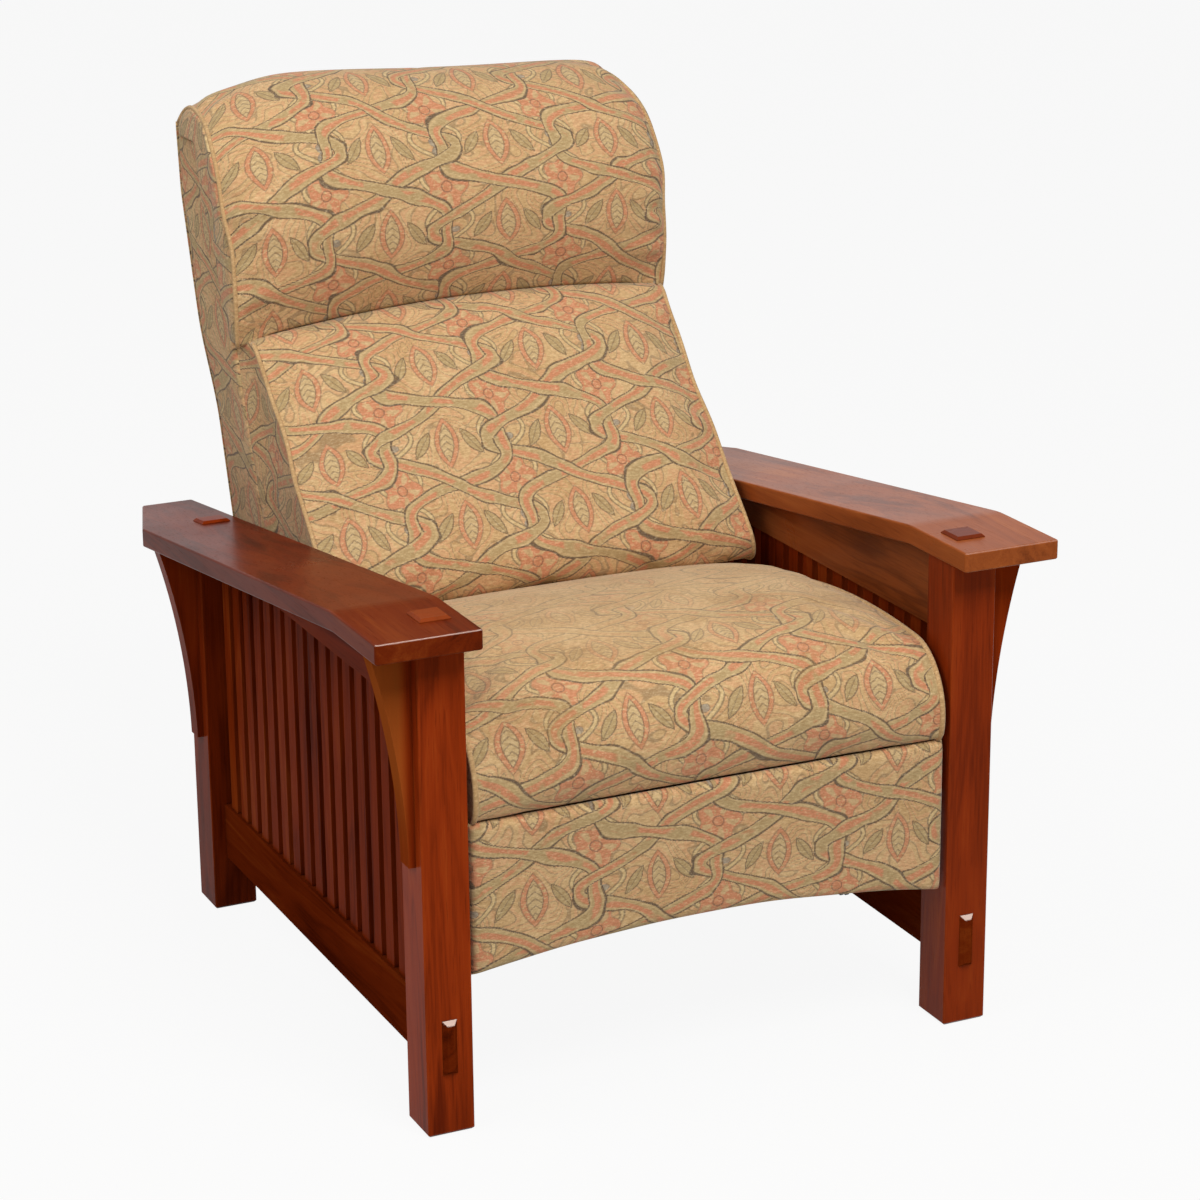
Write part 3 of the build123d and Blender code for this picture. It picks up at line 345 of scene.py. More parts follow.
def jacquard(tree, u, v, ground):
    """The woven pattern: ribbons that interlace round blossoms, seed heads and leaves, with vines behind.
    Gives the finished fills, the ink and the relief."""
    sage, sage_pale = linear(181, 156, 111), linear(202, 174, 128)
    coral, coral_pale = linear(205, 133, 98), linear(214, 156, 116)
    blue, straw = linear(150, 147, 136), linear(212, 184, 134)
    # Outlines step as a loom draws them, and the drawing wanders a little
    thread = 1.3 * MM
    su, sv = u.math("SNAP", thread), v.math("SNAP", thread)
    stepped = vector(tree, su, sv, 0.0)
    fuzz = noise(tree, (su * 0.6, sv, 3.0), 330.0, 1.0)
    patch = noise(tree, stepped, 26.0, 1.0)
    drift = noise(tree, stepped, 8.0, 1.0)
    su = su + (drift - 0.5) * 0.020
    sv = sv + (noise(tree, (sv, su, 0.4), 8.0, 1.0) - 0.5) * 0.020
    width, height, sway, vine_sway = 0.158, 0.226, 0.088, 0.031
    angle = sv * (2 * pi / height)
    wave, lean = angle.math("SINE"), angle.math("COSINE")
    triple = (angle * 3.0).math("SINE")
    triple_lean = (angle * 3.0).math("COSINE")
    spread = noise(tree, (su, sv, 6.0), 19.0, 1.0).step(0.25, 0.75) * 0.62 + 0.66
    art = Drawing(tree, ground, su * 0.0)
    # Vines and curls on the ground
    scroll = noise(tree, (su, sv, 0.0), 15.0, 0.0, 0.3, 1.2)
    curl = (scroll * 9.0).math("FRACT")
    art.line(abs(curl - 0.5).below(0.075, 0.025), 0.45)
    art.fill(curl.below(0.42, 0.05) * fuzz.step(0.34, 0.46), coral_pale, 0.50)
    swing = (angle * 2.0 + 0.9).math("SINE")
    swing_slope = (angle * 2.0 + 0.9).math("COSINE") * (vine_sway * 4 * pi / height)
    for way in (-1.0, 1.0):
        vine = Strand((su + swing * (vine_sway * way)).cell(width, 0.5), swing_slope, 0.0028)
        vine.draw(art, straw, None, 0.72)
    # Blossoms in the wide cells: soft petals without an outline
    cu, cv = su.cell(width, 0.5), sv.cell(height / 2)
    reach = (cu * cu + cv * cv).math("SQRT")
    turn = cv.math("ARCTAN2", cu)
    rim = reach - ((turn * 5.0).math("COSINE") * 0.0040 + 0.0265)
    petal = rim.below(0.0, 0.0008)
    art.cover(petal, straw, 0.6)
    art.fill(petal * fuzz.step(0.28, 0.42), coral, 0.95)
    spokes = (turn * 5.0 + reach * 60.0).math("COSINE").step(0.25, 0.6) * reach.step(0.007, 0.012)
    art.fill(spokes * rim.below(-0.0045, 0.001), sage_pale, 0.85)
    art.line(rim.near(0.0, 0.0016, 0.0004), 0.45)
    art.line(reach.near(0.0068, 0.0016, 0.0003), 0.7)
    # Seed heads in the tall cells, and a pair of leaves beside each
    bu, bv = su.cell(width), sv.cell(height / 2, 0.5)
    side = abs(bu)
    bud = side / 0.0165 + (bv * bv) / 0.0011 - 1.0
    within = bud.below(0.0, 0.03)
    art.cover(within, straw)
    art.fill(within * fuzz.step(0.30, 0.42), coral, 0.90)
    art.fill(bud.below(-0.42, 0.05), sage_pale)
    scales = ((bv + side * 0.8) / 0.0088).math("FRACT").below(0.22, 0.06)
    art.line(scales * bud.below(-0.42, 0.05), 0.6)
    art.line(bud.near(-0.42, 0.10, 0.03), 0.7)
    art.line(bud.near(0.0, 0.11, 0.03), 0.55)
    lu, lv = side - 0.034, bv
    leaf_u, leaf_v = lu * 0.80 + lv * 0.60, lv * 0.80 - lu * 0.60
    leaf = abs(leaf_u) / 0.0074 + (leaf_v * leaf_v) / 0.00042 - 1.0
    art.cover(leaf.below(0.0, 0.04), sage)
    art.line(leaf.near(0.0, 0.22, 0.04), 0.8)
    art.line(leaf_u.near(0.0, 0.0013, 0.0003) * leaf.below(-0.15, 0.05), 0.6)
    # Sprigs where the ribbons close round a narrow cell
    tu, tv = su.cell(width, 0.5), sv.cell(height / 2, 0.5)
    far = (tu * tu + tv * tv).math("SQRT")
    way_round = tv.math("ARCTAN2", tu)
    sprig = far - ((way_round * 3.0).math("COSINE") * 0.0045 + 0.0085)
    art.fill(sprig.below(0.0, 0.0005), blue, 0.8)
    art.line(sprig.near(0.0, 0.0013, 0.0003), 0.55)
    # Two families of ribbons that pass over and under each other
    over = (lean * (abs(wave) * -1.0 + 0.45)).math("GREATER_THAN", 0.0)
    ribbons = []
    for way, bend in ((1.0, 0.16), (-1.0, -0.16)):
        curve = (wave + triple * bend) * (sway * way)
        slope = (lean + triple_lean * (3 * bend)) * (sway * 2 * pi / height)
        ribbon = Strand((su + curve).cell(width), slope, 0.0082, spread)
        tint = mix(tree, patch.step(0.35, 0.65) * fuzz, sage, linear(196, 168, 120))
        inner = ribbon.distance.near(0.0012 * way, 0.0068, 0.0008)
        fleck = patch.step(0.40, 0.46) * fuzz.step(0.26, 0.42) * inner
        tint = mix(tree, fleck * 0.95, tint, coral)
        tint = mix(tree, ribbon.away.near(0.0060, 0.0016, 0.0004) * 0.75, tint, sage_pale)
        ribbons.append((ribbon, tint))
    (first, first_tint), (second, second_tint) = ribbons
    first.draw(art, first_tint)
    second.draw(art, second_tint)
    first.draw(art, first_tint, over)
    relief = first.inside.math("MAXIMUM", second.inside) * 0.5 + petal * 0.3
    return art.colour, art.ink, relief - art.ink * 0.6


def fabric(name, worn=0.0, patterned=True):
    """Jacquard upholstery on a tan ground. worn is how much the seat's drawing has faded behind its front."""
    material, tree, shader = new_material(name)
    cloth = add_node(tree, "UVMap")
    cloth.uv_map = "cloth"
    u, v, _ = parts(tree, cloth.outputs[0])
    flat = vector(tree, u, v, 0.0)
    pale, shade = linear(214, 180, 132), linear(198, 161, 112)
    if not patterned:
        pale, shade = linear(204, 168, 120), linear(186, 148, 101)
    cloud = noise(tree, flat, 11.0, 3.0)
    colour = mix(tree, cloud.step(0.3, 0.72), shade, pale)
    if patterned:
        ground = colour
        colour, ink, relief = jacquard(tree, u, v, ground)
        if worn:
            thin = v.step(0.20, 0.34) * noise(tree, flat, 5.0, 3.0).step(0.18, 0.55) * worn
            colour = mix(tree, thin, colour, ground)
            ink = ink * thin.math("MULTIPLY_ADD", -0.55, 1.0)
        dashes = noise(tree, (u, v, 5.0), 480.0, 1.0).step(0.25, 0.55)
        colour = mix(tree, ink * (dashes * 0.25 + 0.72), colour, linear(84, 70, 62))
        if worn:
            soil = noise(tree, (u, v * 1.6, 8.0), 8.0, 4.0, 0.6).step(0.46, 0.72)
            colour = mix(tree, soil * v.step(0.10, 0.20) * 0.40, colour, linear(158, 120, 70))
    # Threads: ribs across, with slubs and a heathered tint
    rib = (v * (2 * pi / 0.0021)).math("SINE")
    cross = (u * (2 * pi / 0.0016)).math("SINE")
    slub = noise(tree, (u * 0.22, v, 0.0), 760.0, 2.0, 0.6)
    yarn = noise(tree, (u, v * 0.3, 0.7), 1100.0, 1.0)
    tone = slub * 0.6 + yarn * 0.4
    colour = mix(tree, tone.step(0.35, 0.62).rest(0.24), colour, linear(132, 100, 60))
    colour = mix(tree, tone.step(0.50, 0.70) * 0.26, colour, linear(236, 210, 166))
    grain = noise(tree, (u * 0.45, v, 2.0), 300.0, 2.0, 0.7)
    colour = mix(tree, grain.step(0.34, 0.52).rest(0.34), colour, linear(150, 114, 72))
    colour = mix(tree, grain.step(0.52, 0.72) * 0.34, colour, linear(238, 210, 164))
    height = rib * 0.18 + cross * 0.10 + slub * 0.7 + grain * 0.9
    if patterned:
        height = height + relief * 0.7
    weave = bump(tree, height, 0.45 * MM, 0.55)
    if patterned:
        # Gathers that run off the seams
        reading = add_node(tree, "Attribute")
        reading.attribute_name = "seam"
        place = object_place(tree)
        gather = noise(tree, place, 42.0, 2.0, 0.5, 0.4)
        slack = noise(tree, place, 9.0, 2.0)
        pull = Term(tree, reading.outputs["Fac"]).step(0.0, 0.050).rest()
        weave = bump(tree, gather * pull + slack * 0.8, 5.0 * MM, 0.55, weave)
    set_inputs(tree, shader, {
        "Base Color": colour, "Roughness": 0.92, "Specular IOR Level": 0.2, "Sheen Weight": 0.25,
        "Sheen Roughness": 0.45, "Normal": weave,
    })
    return material


UPHOLSTERY = fabric("upholstery_jacquard")
SEAT_CLOTH = fabric("upholstery_seat", worn=0.85)
WELT_CLOTH = fabric("upholstery_welt", patterned=False)

# Finishes of the CAD nodes that stay. Cherry has its grain axis, stain, shine and, where it is browner, its
# tones, and a name comes before its kind. Frame timber has its grain axis. The stains also paint light and
# shade: the side slats and lower side rails are darker for painted shade under the arms, the right front leg
# darker for painted shade, and the right arm and right upper rail paler and browner, partly for a painted
# sheen.
CHERRY = {
    "arm": ("Y", 0.48, 0.03),
    "arm_right": ("Y", 1.05, 0.065, BROWN_TONES),
    "front_leg": ("Z", 0.96, 0.022),
    "front_leg_right": ("Z", 0.84, 0.05),
    "rear_leg": ("Z", 0.69, 0.014),
    "lower_side_rail": ("Y", 0.46, 0.0),
    "upper_side_rail": ("Y", 0.80, 0.004),
    "upper_side_rail_right": ("Y", 0.92, 0.10, BROWN_TONES),
    "side_slats": ("Z", 0.66, 0.003),
    "front_corbel": ("Z", 0.88, 0.0),
    "rear_corbel": ("Z", 0.74, 0.01),
    "rear_stretcher": ("X", 0.6, 0.02),
}
# Painted highlights on up-facing front edges: where they stop, the tilts they cover and their share
PAINTED_GLINTS = {
    "arm_left": (FRONT + 3 * MM, 0.50, 0.84, 0.75),
    "arm_right": (FRONT + 3 * MM, 0.50, 0.84, 0.30),
    "lower_side_rail": (LEG_FACE - 0.5 * MM, 0.25, 0.95, 0.85),
}
CROWN = {"front_leg_left": linear(132, 60, 27), "front_leg_right": linear(100, 42, 22)}
CROWN_HEIGHT = 0.018
FRAME_TIMBER = {
    "mechanism_cleat": "Y", "seat_side_rail": "Y", "seat_front_rail": "X", "seat_rear_rail": "X",
    "seat_spacer_blocks": "Y", "seat_corner_blocks": "X", "back_cross_rails": "X", "back_side_panel": "Z",
    "footrest_board": "X",
}


def cherry(name, kind, seed, top):
    """The finish of one cherry piece, whose top is at a height."""
    grain, stain_and_painted_light, shine, *tones = CHERRY.get(name, CHERRY[kind])
    return wood(
        "cherry_" + name, grain, seed, stain_and_painted_light, shine=shine, tones=tones[0] if tones else CHERRY_TONES,
        edge_wear_and_highlight=0.40 if kind == "arm" else 0.30, painted_glint=PAINTED_GLINTS.get(name, PAINTED_GLINTS.get(kind)),
        crown=(top - CROWN_HEIGHT, CROWN[name]) if name in CROWN else None, sap=name == "front_corbel_left",
    )


def finish_nodes():
    """Gives every CAD node its material."""
    plated_steel, elastic_webbing = steel("plated_steel"), webbing("elastic_webbing")
    for count, (name, node) in enumerate(sorted(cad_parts.items())):
        kind = name.removesuffix("_left").removesuffix("_right")
        seed = 1.0 + 0.37 * count
        if kind in CHERRY:
            material = cherry(name, kind, seed, max(corner[2] for corner in node.bound_box))
        elif kind in FRAME_TIMBER:
            material = wood("timber_" + name, FRAME_TIMBER[kind], seed, 0.55, 0.62, tones=RAW_TONES)
        elif "webbing" in kind:
            material = elastic_webbing
        else:
            material = plated_steel
        node.data.materials.clear()
        node.data.materials.append(material)


finish_nodes()


def clamped(value):
    """The value, kept between 0 and 1."""
    return min(1.0, max(0.0, value))


# Outlines

def arc(start, middle, end, count):
    """Points on the circle arc through three points."""
    (ax, ay), (bx, by), (cx, cy) = start, middle, end
    d = 2 * (ax * (by - cy) + bx * (cy - ay) + cx * (ay - by))
    ux = ((ax**2 + ay**2) * (by - cy) + (bx**2 + by**2) * (cy - ay) + (cx**2 + cy**2) * (ay - by)) / d
    uy = ((ax**2 + ay**2) * (cx - bx) + (bx**2 + by**2) * (ax - cx) + (cx**2 + cy**2) * (bx - ax)) / d
    centre = np.array([ux, uy])
    radius = np.hypot(ax - ux, ay - uy)
    a, b, c = [np.arctan2(p[1] - uy, p[0] - ux) for p in (start, middle, end)]
    b = a + (b - a + pi) % (2 * pi) - pi
    c = b + (c - b + pi) % (2 * pi) - pi
    turns = np.linspace(a, c, count)
    return centre + radius * np.stack([np.cos(turns), np.sin(turns)], 1)


def run(start, end, count=12):
    """Points on a straight run."""
    return np.linspace(start, end, count)


def joined(*lines):
    """One open line from runs and arcs that meet."""
    return np.concatenate([lines[0]] + [line[1:] for line in lines[1:]])


def even(line, count):
    """The same line as points at even distances, and its length."""
    steps = np.hypot(*np.diff(line, axis=0).T)
    at = np.concatenate([[0], np.cumsum(steps)])
    want = np.linspace(0, at[-1], count)
    return np.stack([np.interp(want, at, line[:, k]) for k in (0, 1)], 1), at[-1]


def face_arcs(origin, size, swell, shares, counts, end=()):
    """A face as arcs that meet, each through three points, and those points. Each point has its shares of the
    cushion's depth and height, and how far the swell moves it forward and up."""
    points = []
    for deep, high, ahead, up in shares:
        points.append((origin[0] + size[0] * deep - swell * ahead, origin[1] + size[1] * high + swell * up))
    points += end
    arcs = [arc(*points[2 * k:2 * k + 3], count) for k, count in enumerate(counts)]
    return joined(*arcs), points


DEPTH, LEAN = 1.008, radians(17.2)
SEAT_ORIGIN, SEAT_SIZE, SEAT_HALF = (0.039, 0.374), (0.600, 0.132), 0.303
BACK_BOTTOM, FRAME_TOP, BACK_HEIGHT, CREASE = 0.345, 1.003, 1.018, 0.778
BACK_HALF = 0.301
INNER_REAR = 0.010 / cos(LEAN)
FOOT = (0.658, 0.394)


def rear_line(z):
    """Distance back of the outer rear face at a height."""
    return DEPTH - (BACK_HEIGHT - z) * tan(LEAN)


TOP = (rear_line(FRAME_TOP) - 0.078, FRAME_TOP)


def front_line(z, proud=0.0):
    """Distance back of the frame's front line at a height, less what lies in front of it."""
    return FOOT[0] + (z - FOOT[1]) / (TOP[1] - FOOT[1]) * (TOP[0] - FOOT[0]) - proud


# How far the head cushion's foot stands before the frame, and the lumbar cushion's rear is tucked into it
PROUD, TUCK = 0.0023, 0.004
LUMBAR_BOTTOM = 0.465
LUMBAR_HEEL = LUMBAR_BOTTOM - 0.014
LUMBAR_ORIGIN = (front_line(LUMBAR_BOTTOM) - 0.1779, LUMBAR_BOTTOM)
LUMBAR_SIZE = (front_line(CREASE, PROUD) - LUMBAR_ORIGIN[0], CREASE - LUMBAR_BOTTOM)
HEAD_ORIGIN = (front_line(CREASE) - 0.0326, CREASE)
HEAD_SIZE = (DEPTH - INNER_REAR - HEAD_ORIGIN[0], 0.272)


def seat_outline(swell):
    """Face from the front's foot over the top to the rear, and the hidden rear and underside."""
    shares = (
        (0.022, -0.010, 0, 0), (0.008, 0.008, 0, 0), (0.003, 0.075, 0.05, 0), (0.003, 0.42, 0.3, 0),
        (0.085, 0.87, 0.3, 0.7), (0.43, 0.92, 0, 1), (1, 0.22, 0, 0.4),
    )
    face, points = face_arcs(SEAT_ORIGIN, SEAT_SIZE, swell, shares, (8, 24, 40))
    rear = (points[-1][0], SEAT_ORIGIN[1])
    return face, joined(run(points[-1], rear, 4), run(rear, points[0]))


def lumbar_outline(swell):
    """Face from the nose up to the crease, and the hidden top, back and foot."""
    shares = (
        (0.105, 0.0, 0, 0), (0.012, 0.03, 0.3, 0), (0.0, 0.14, 0.5, 0.2), (0.385, 0.57, 0.8, 0.6),
        (0.8, 0.965, 0.5, 0.2), (0.825, 0.992, 0.3, 0), (0.86, 1, 0, 0),
    )
    face, points = face_arcs(LUMBAR_ORIGIN, LUMBAR_SIZE, swell, shares, (10, 40, 8))
    crest = (front_line(CREASE, -TUCK), CREASE)
    heel = (front_line(LUMBAR_HEEL, -TUCK), LUMBAR_HEEL)
    return face, joined(run(points[-1], crest, 4), run(crest, heel), run(heel, points[0], 6))


def head_outline(swell):
    """Face from the crease over the top to the rear panel, and the hidden inside."""
    shares = (
        (0, 0, 0, 0), (0.015, 0.37, 1, 0), (0.175, 0.72, 1, 0.55), (0.395, 0.900, 0.7, 0.8),
        (0.74, 0.99, 0.2, 1), (0.91, 0.965, 0, 0.6),
    )
    rear_top = (rear_line(BACK_HEIGHT) - INNER_REAR, BACK_HEIGHT)
    rear_foot = (rear_line(FRAME_TOP) - INNER_REAR, FRAME_TOP)
    notch, heel = (front_line(FRAME_TOP, PROUD), FRAME_TOP), (front_line(CREASE, PROUD), CREASE)
    face, points = face_arcs(HEAD_ORIGIN, HEAD_SIZE, swell, shares, (24, 24, 12), [rear_top])
    rear = joined(run(rear_top, rear_foot, 3), run(rear_foot, notch, 6))
    return face, joined(rear, run(notch, heel), run(heel, points[0], 4))


# Meshes

def add_object(name, data):
    """A new object in the scene."""
    obj = bpy.data.objects.new(name, data)
    bpy.context.scene.collection.objects.link(obj)
    return obj


def mesh_object(name, vertices, faces, uvs, material, seam=None, creased=()):
    """A mesh with its cloth coordinates, a (u, v) in metres for each corner of each face, each vertex's
    distance from the nearest seam, and its creased edges as rising pairs of vertices."""
    mesh = bpy.data.meshes.new(name)
    mesh.from_pydata([tuple(p) for p in vertices], [], faces)
    layer = mesh.uv_layers.new(name="cloth")
    layer.data.foreach_set("uv", [value for face in uvs for corner in face for value in corner])
    mesh.polygons.foreach_set("use_smooth", [True] * len(mesh.polygons))
    mesh.materials.append(material)
    if seam is not None:
        attribute = mesh.attributes.new("seam", "FLOAT", "POINT")
        attribute.data.foreach_set("value", [float(value) for value in seam])
    if creased:
        values = [0.7 if tuple(sorted(edge.vertices)) in creased else 0.0 for edge in mesh.edges]
        attribute = mesh.attributes.new("crease_edge", "FLOAT", "EDGE")
        attribute.data.foreach_set("value", values)
    mesh.validate()
    return add_object(name, mesh)


def smoothed(obj):
    """Subdivides the mesh once, when its shape is final."""
    modifier = obj.modifiers.new("Smooth", "SUBSURF")
    modifier.levels = modifier.render_levels = 1
    graph = bpy.context.evaluated_depsgraph_get()
    final = obj.evaluated_get(graph)
    made = bpy.data.meshes.new_from_object(final, preserve_all_data_layers=True, depsgraph=graph)
    obj.modifiers.clear()
    obj.data = made


def coordinates(mesh):
    """The mesh's vertices as rows of x, y and z."""
    flat = np.empty(len(mesh.vertices) * 3)
    mesh.vertices.foreach_get("co", flat)
    return flat.reshape(-1, 3)


def wander(seed, place, scale):
    """Smooth random value between about -1 and 1, the same each run."""
    return smooth_noise(Vector((place * scale, seed * 7.3, 0.5 * seed)))


class Cushion:
    """A boxed cushion: its cloth face between two welted side seams, the hidden faces and the side boxings.
    half is half the width of its cloth, and side(y, z) that of its shape. full and drawn are how far the face
    stands out in its middle and draws in at the seams. The boxings close on the centre and stand out by puff.
    """

    SHRINK, LIFT = (0.94, 0.86, 0.72, 0.52, 0.28), (0.45, 0.75, 0.95, 1.0, 0.95)

    def __init__(
        self, name, outline, half, side, full, drawn, centre, counts, origin, material, base=0.9, power=4,
        puff=0.0,
    ):
        self.name, self.half, self.side, self.centre = name, half, side, centre
        self.origin, self.material, self.puff = origin, material, puff
        self.columns, self.rows, self.hidden_rows = counts
        self.ring = self.rows + self.hidden_rows - 2
        places = np.linspace(-1, 1, self.columns)
        self.across = places * half
        self.vertices, self.faces, self.uvs = [], [], []
        lengths = []
        for place in places:
            swell = (full + drawn) * sqrt(max(0.0, 1 - abs(place)**power)) - drawn
            if swell > 0:
                swell *= base
            lengths.append(self.add_section(place, *outline(swell)))
        self.along = np.linspace(0, max(lengths), self.rows)
        for column in range(self.columns - 1):
            self.add_strip(column)
        for sign, column in ((-1, 0), (1, self.columns - 1)):
            self.add_boxing(sign, column * self.ring)
        self.vertices = np.array(self.vertices)
        self.seam_distance = self.distances()

    def add_section(self, place, shown, hidden):
        """One closed section. Gives the length of cloth on its face."""
        shown, length = even(shown, self.rows)
        hidden, _ = even(hidden, self.hidden_rows)
        for y, z in np.concatenate([shown, hidden[1:-1]]):
            self.vertices.append((place * self.side(y, z), FRONT + y, z))
        return length

    def add_strip(self, column):
        """The faces between two neighbouring sections; the hidden ones go on at the cloth's pitch."""
        pitch = self.along[1] - self.along[0]
        left, right = self.across[column] + self.origin[0], self.across[column + 1] + self.origin[0]
        for row in range(self.ring):
            after = (row + 1) % self.ring
            here, there = column * self.ring, (column + 1) * self.ring
            self.faces.append((here + row, there + row, there + after, here + after))
            low, high = row * pitch + self.origin[1], (row + 1) * pitch + self.origin[1]
            self.uvs.append([(left, low), (right, low), (right, high), (left, high)])

    def add_boxing(self, sign, start):
        """Rings that shrink to a middle point."""
        edge = self.vertices[start:start + self.ring]
        rings = [list(range(start, start + self.ring))]
        cy, cz = FRONT + self.centre[0], self.centre[1]
        for step, lift in zip(self.SHRINK, self.LIFT):
            first = len(self.vertices)
            for _, y, z in edge:
                ny, nz = cy + (y - cy) * step, cz + (z - cz) * step
                self.vertices.append((sign * (self.side(ny - FRONT, nz) + lift * self.puff), ny, nz))
            rings.append(list(range(first, first + self.ring)))
        tip = len(self.vertices)
        self.vertices.append((sign * (self.side(*self.centre) + self.LIFT[-1] * self.puff), cy, cz))
        for outer, inner in zip(rings, rings[1:] + [[tip]]):
            for row in range(self.ring):
                after = (row + 1) % self.ring
                corners = [outer[row], outer[after]]
                corners += [tip] if inner == [tip] else [inner[after], inner[row]]
                self.faces.append(tuple(corners if sign < 0 else corners[::-1]))
                self.uvs.append([self.side_cloth(self.vertices[i]) for i in self.faces[-1]])

    def side_cloth(self, point):
        """Cloth coordinates on a boxing."""
        return (point[1] + self.origin[0] + 0.11, point[2] + self.origin[1])

    def distances(self):
        """How far each vertex lies from a side seam."""
        rings = [np.full(self.ring, self.half - abs(x)) for x in self.across]
        boxing = [np.full(self.ring, (1 - step) * 0.1) for step in self.SHRINK] + [[0.05]]
        return np.concatenate(rings + boxing + boxing)

    def index(self, column, row):
        return column * self.ring + row

    def seam(self, sign):
        """Vertices of one side seam, from the face's first row to its last."""
        column = 0 if sign < 0 else self.columns - 1
        return [self.index(column, row) for row in range(self.rows)]

    def inner(self):
        """The columns and rows of the face inside its seams."""
        return [(column, row) for column in range(1, self.columns - 1) for row in range(1, self.rows - 1)]

    def held(self):
        """The vertices that keep their place: all but the inner ones of the face."""
        free = {self.index(column, row) for column, row in self.inner()}
        return [vertex for vertex in range(len(self.vertices)) if vertex not in free]


def tube(name, path, radius, material, body, sides=8):
    """A welt: a round tube of cloth along a line, closed at its ends."""
    path = np.array(path)
    away = np.gradient(path, axis=0)
    away /= np.linalg.norm(away, axis=1, keepdims=True)
    travelled = np.concatenate([[0], np.cumsum(np.linalg.norm(np.diff(path, axis=0), axis=1))])
    width = 2 * pi * radius / sides
    vertices, faces, uvs = [], [], []
    for point, direction in zip(path, away):
        first = np.cross(direction, (1.0, 0.0, 0.0))
        first /= np.linalg.norm(first)
        second = np.cross(direction, first)
        for k in range(sides):
            turn = 2 * pi * k / sides
            vertices.append(point + radius * (cos(turn) * first + sin(turn) * second))
    for row in range(len(path) - 1):
        for k in range(sides):
            after = (k + 1) % sides
            here, there = row * sides, (row + 1) * sides
            faces.append((here + k, here + after, there + after, there + k))
            left, right = k * width, (k + 1) * width
            near, far = travelled[row], travelled[row + 1]
            uvs.append([(left, near), (right, near), (right, far), (left, far)])
    last = (len(path) - 1) * sides
    for face in (tuple(range(sides))[::-1], tuple(range(last, last + sides))):
        faces.append(face)
        uvs.append([(0.0, 0.0)] * sides)
    obj = mesh_object(name, vertices, faces, uvs, material)
    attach(obj, body)


def softened(line):
    """The line with small kinks taken out and its ends kept."""
    line = np.array(line, float)
    for _ in range(2):
        line[1:-1] = 0.25 * line[:-2] + 0.5 * line[1:-1] + 0.25 * line[2:]
    return line


def gathered(cushion, obj, depth, reach, scale, seed):
    """Folds that run in from the side seams, deepest just off the seam and gone beyond their reach."""
    points = coordinates(obj.data)
    for column, row in cushion.inner():
        off = cushion.half - abs(cushion.across[column])
        share = (1 - np.exp(-off / 0.006)) * np.exp(-((off / reach) ** 1.3))
        index = cushion.index(column, row)
        side = np.sign(cushion.across[column])
        along = cushion.along[row] * scale
        wave = smooth_noise(Vector((along, seed + 5.0 * side, off * 4.0)))
        fine = smooth_noise(Vector((along * 2.3, seed - 3.0 * side, off * 9.0)))
        ridge = 1.0 - abs(wave) * 2.6 + 0.35 * fine
        points[index] += np.array(obj.data.vertices[index].normal) * (-depth * share * ridge)
    obj.data.vertices.foreach_set("co", points.ravel())
    obj.data.update()


def declare(obj, body, node):
    """Finishes a cover, attaches it to what it rides and hides the part it replaces."""
    smoothed(obj)
    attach(obj, body)
    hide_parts(node)


def finish_cushion(cushion, points, part, body, folds, welt, inward=0.0):
    """Makes a cushion's final object, with welts along both side seams. folds is what gathered takes, welt
    the welts' radius and inward how far they sink in."""
    creased = set()
    for sign, _ in SIDES:
        seam = cushion.seam(sign)
        creased.update(zip(seam, seam[1:]))
    cloth = (cushion.faces, cushion.uvs, cushion.material, cushion.seam_distance)
    obj = mesh_object(cushion.name, points, *cloth, creased)
    gathered(cushion, obj, **folds)
    declare(obj, body, part + "_cushion")
    for sign, word in SIDES:
        line = softened(points[cushion.seam(sign)])
        line[:, 0] -= sign * inward
        tube(part + "_welt_" + word, line, welt, WELT_CLOTH, body)


def swelled(cushion, pressure, cap, excess):
    """The cushion's points once its cloth has swelled over the filling. cap is how far one may move, and
    excess is the share of cloth to spare."""
    frames = 20
    obj = mesh_object(cushion.name + "_trial", cushion.vertices, cushion.faces, cushion.uvs, cushion.material)
    before = coordinates(obj.data)
    obj.vertex_groups.new(name="held").add(cushion.held(), 1.0, "REPLACE")
    modifier = obj.modifiers.new("Cloth", "CLOTH")
    cloth = modifier.settings
    cloth.quality = 6
    cloth.mass = 0.3
    cloth.tension_stiffness = 18
    cloth.compression_stiffness = 18
    cloth.shear_stiffness = 8
    cloth.bending_stiffness = 0.6
    cloth.use_pressure = True
    cloth.uniform_pressure_force = pressure
    cloth.effector_weights.gravity = 0
    cloth.vertex_group_mass = "held"
    cloth.pin_stiffness = 1.0
    cloth.shrink_min = -excess
    modifier.collision_settings.use_collision = False
    modifier.point_cache.frame_start = 1
    modifier.point_cache.frame_end = frames
    scene = bpy.context.scene
    for number in range(1, frames + 1):
        scene.frame_set(number)
    moved = coordinates(obj.evaluated_get(bpy.context.evaluated_depsgraph_get()).data) - before
    bpy.data.objects.remove(obj)
    scene.frame_set(1)
    length = np.linalg.norm(moved, axis=1, keepdims=True)
    return before + moved * np.minimum(1.0, cap / np.maximum(length, 1e-9))


# Seat cushion

def seat_side(y, z):
    """Half the width of the seat cushion, the same all over."""
    return SEAT_HALF


seat = Cushion(
    "seat_cushion_cover", seat_outline, SEAT_HALF, seat_side, full=0.018, drawn=0.007, centre=(0.33, 0.428),
    counts=(61, 84, 44), origin=(CLOTH_MIDDLE, 0.075), material=SEAT_CLOTH,
)
seat_points = swelled(seat, pressure=3.0, cap=0.012, excess=0.008)
seat_folds = {"depth": 0.0035, "reach": 0.045, "scale": 18.0, "seed": 2.0}
finish_cushion(seat, seat_points, "seat", "seat", seat_folds, welt=0.0036, inward=0.001)


# Lumbar cushion

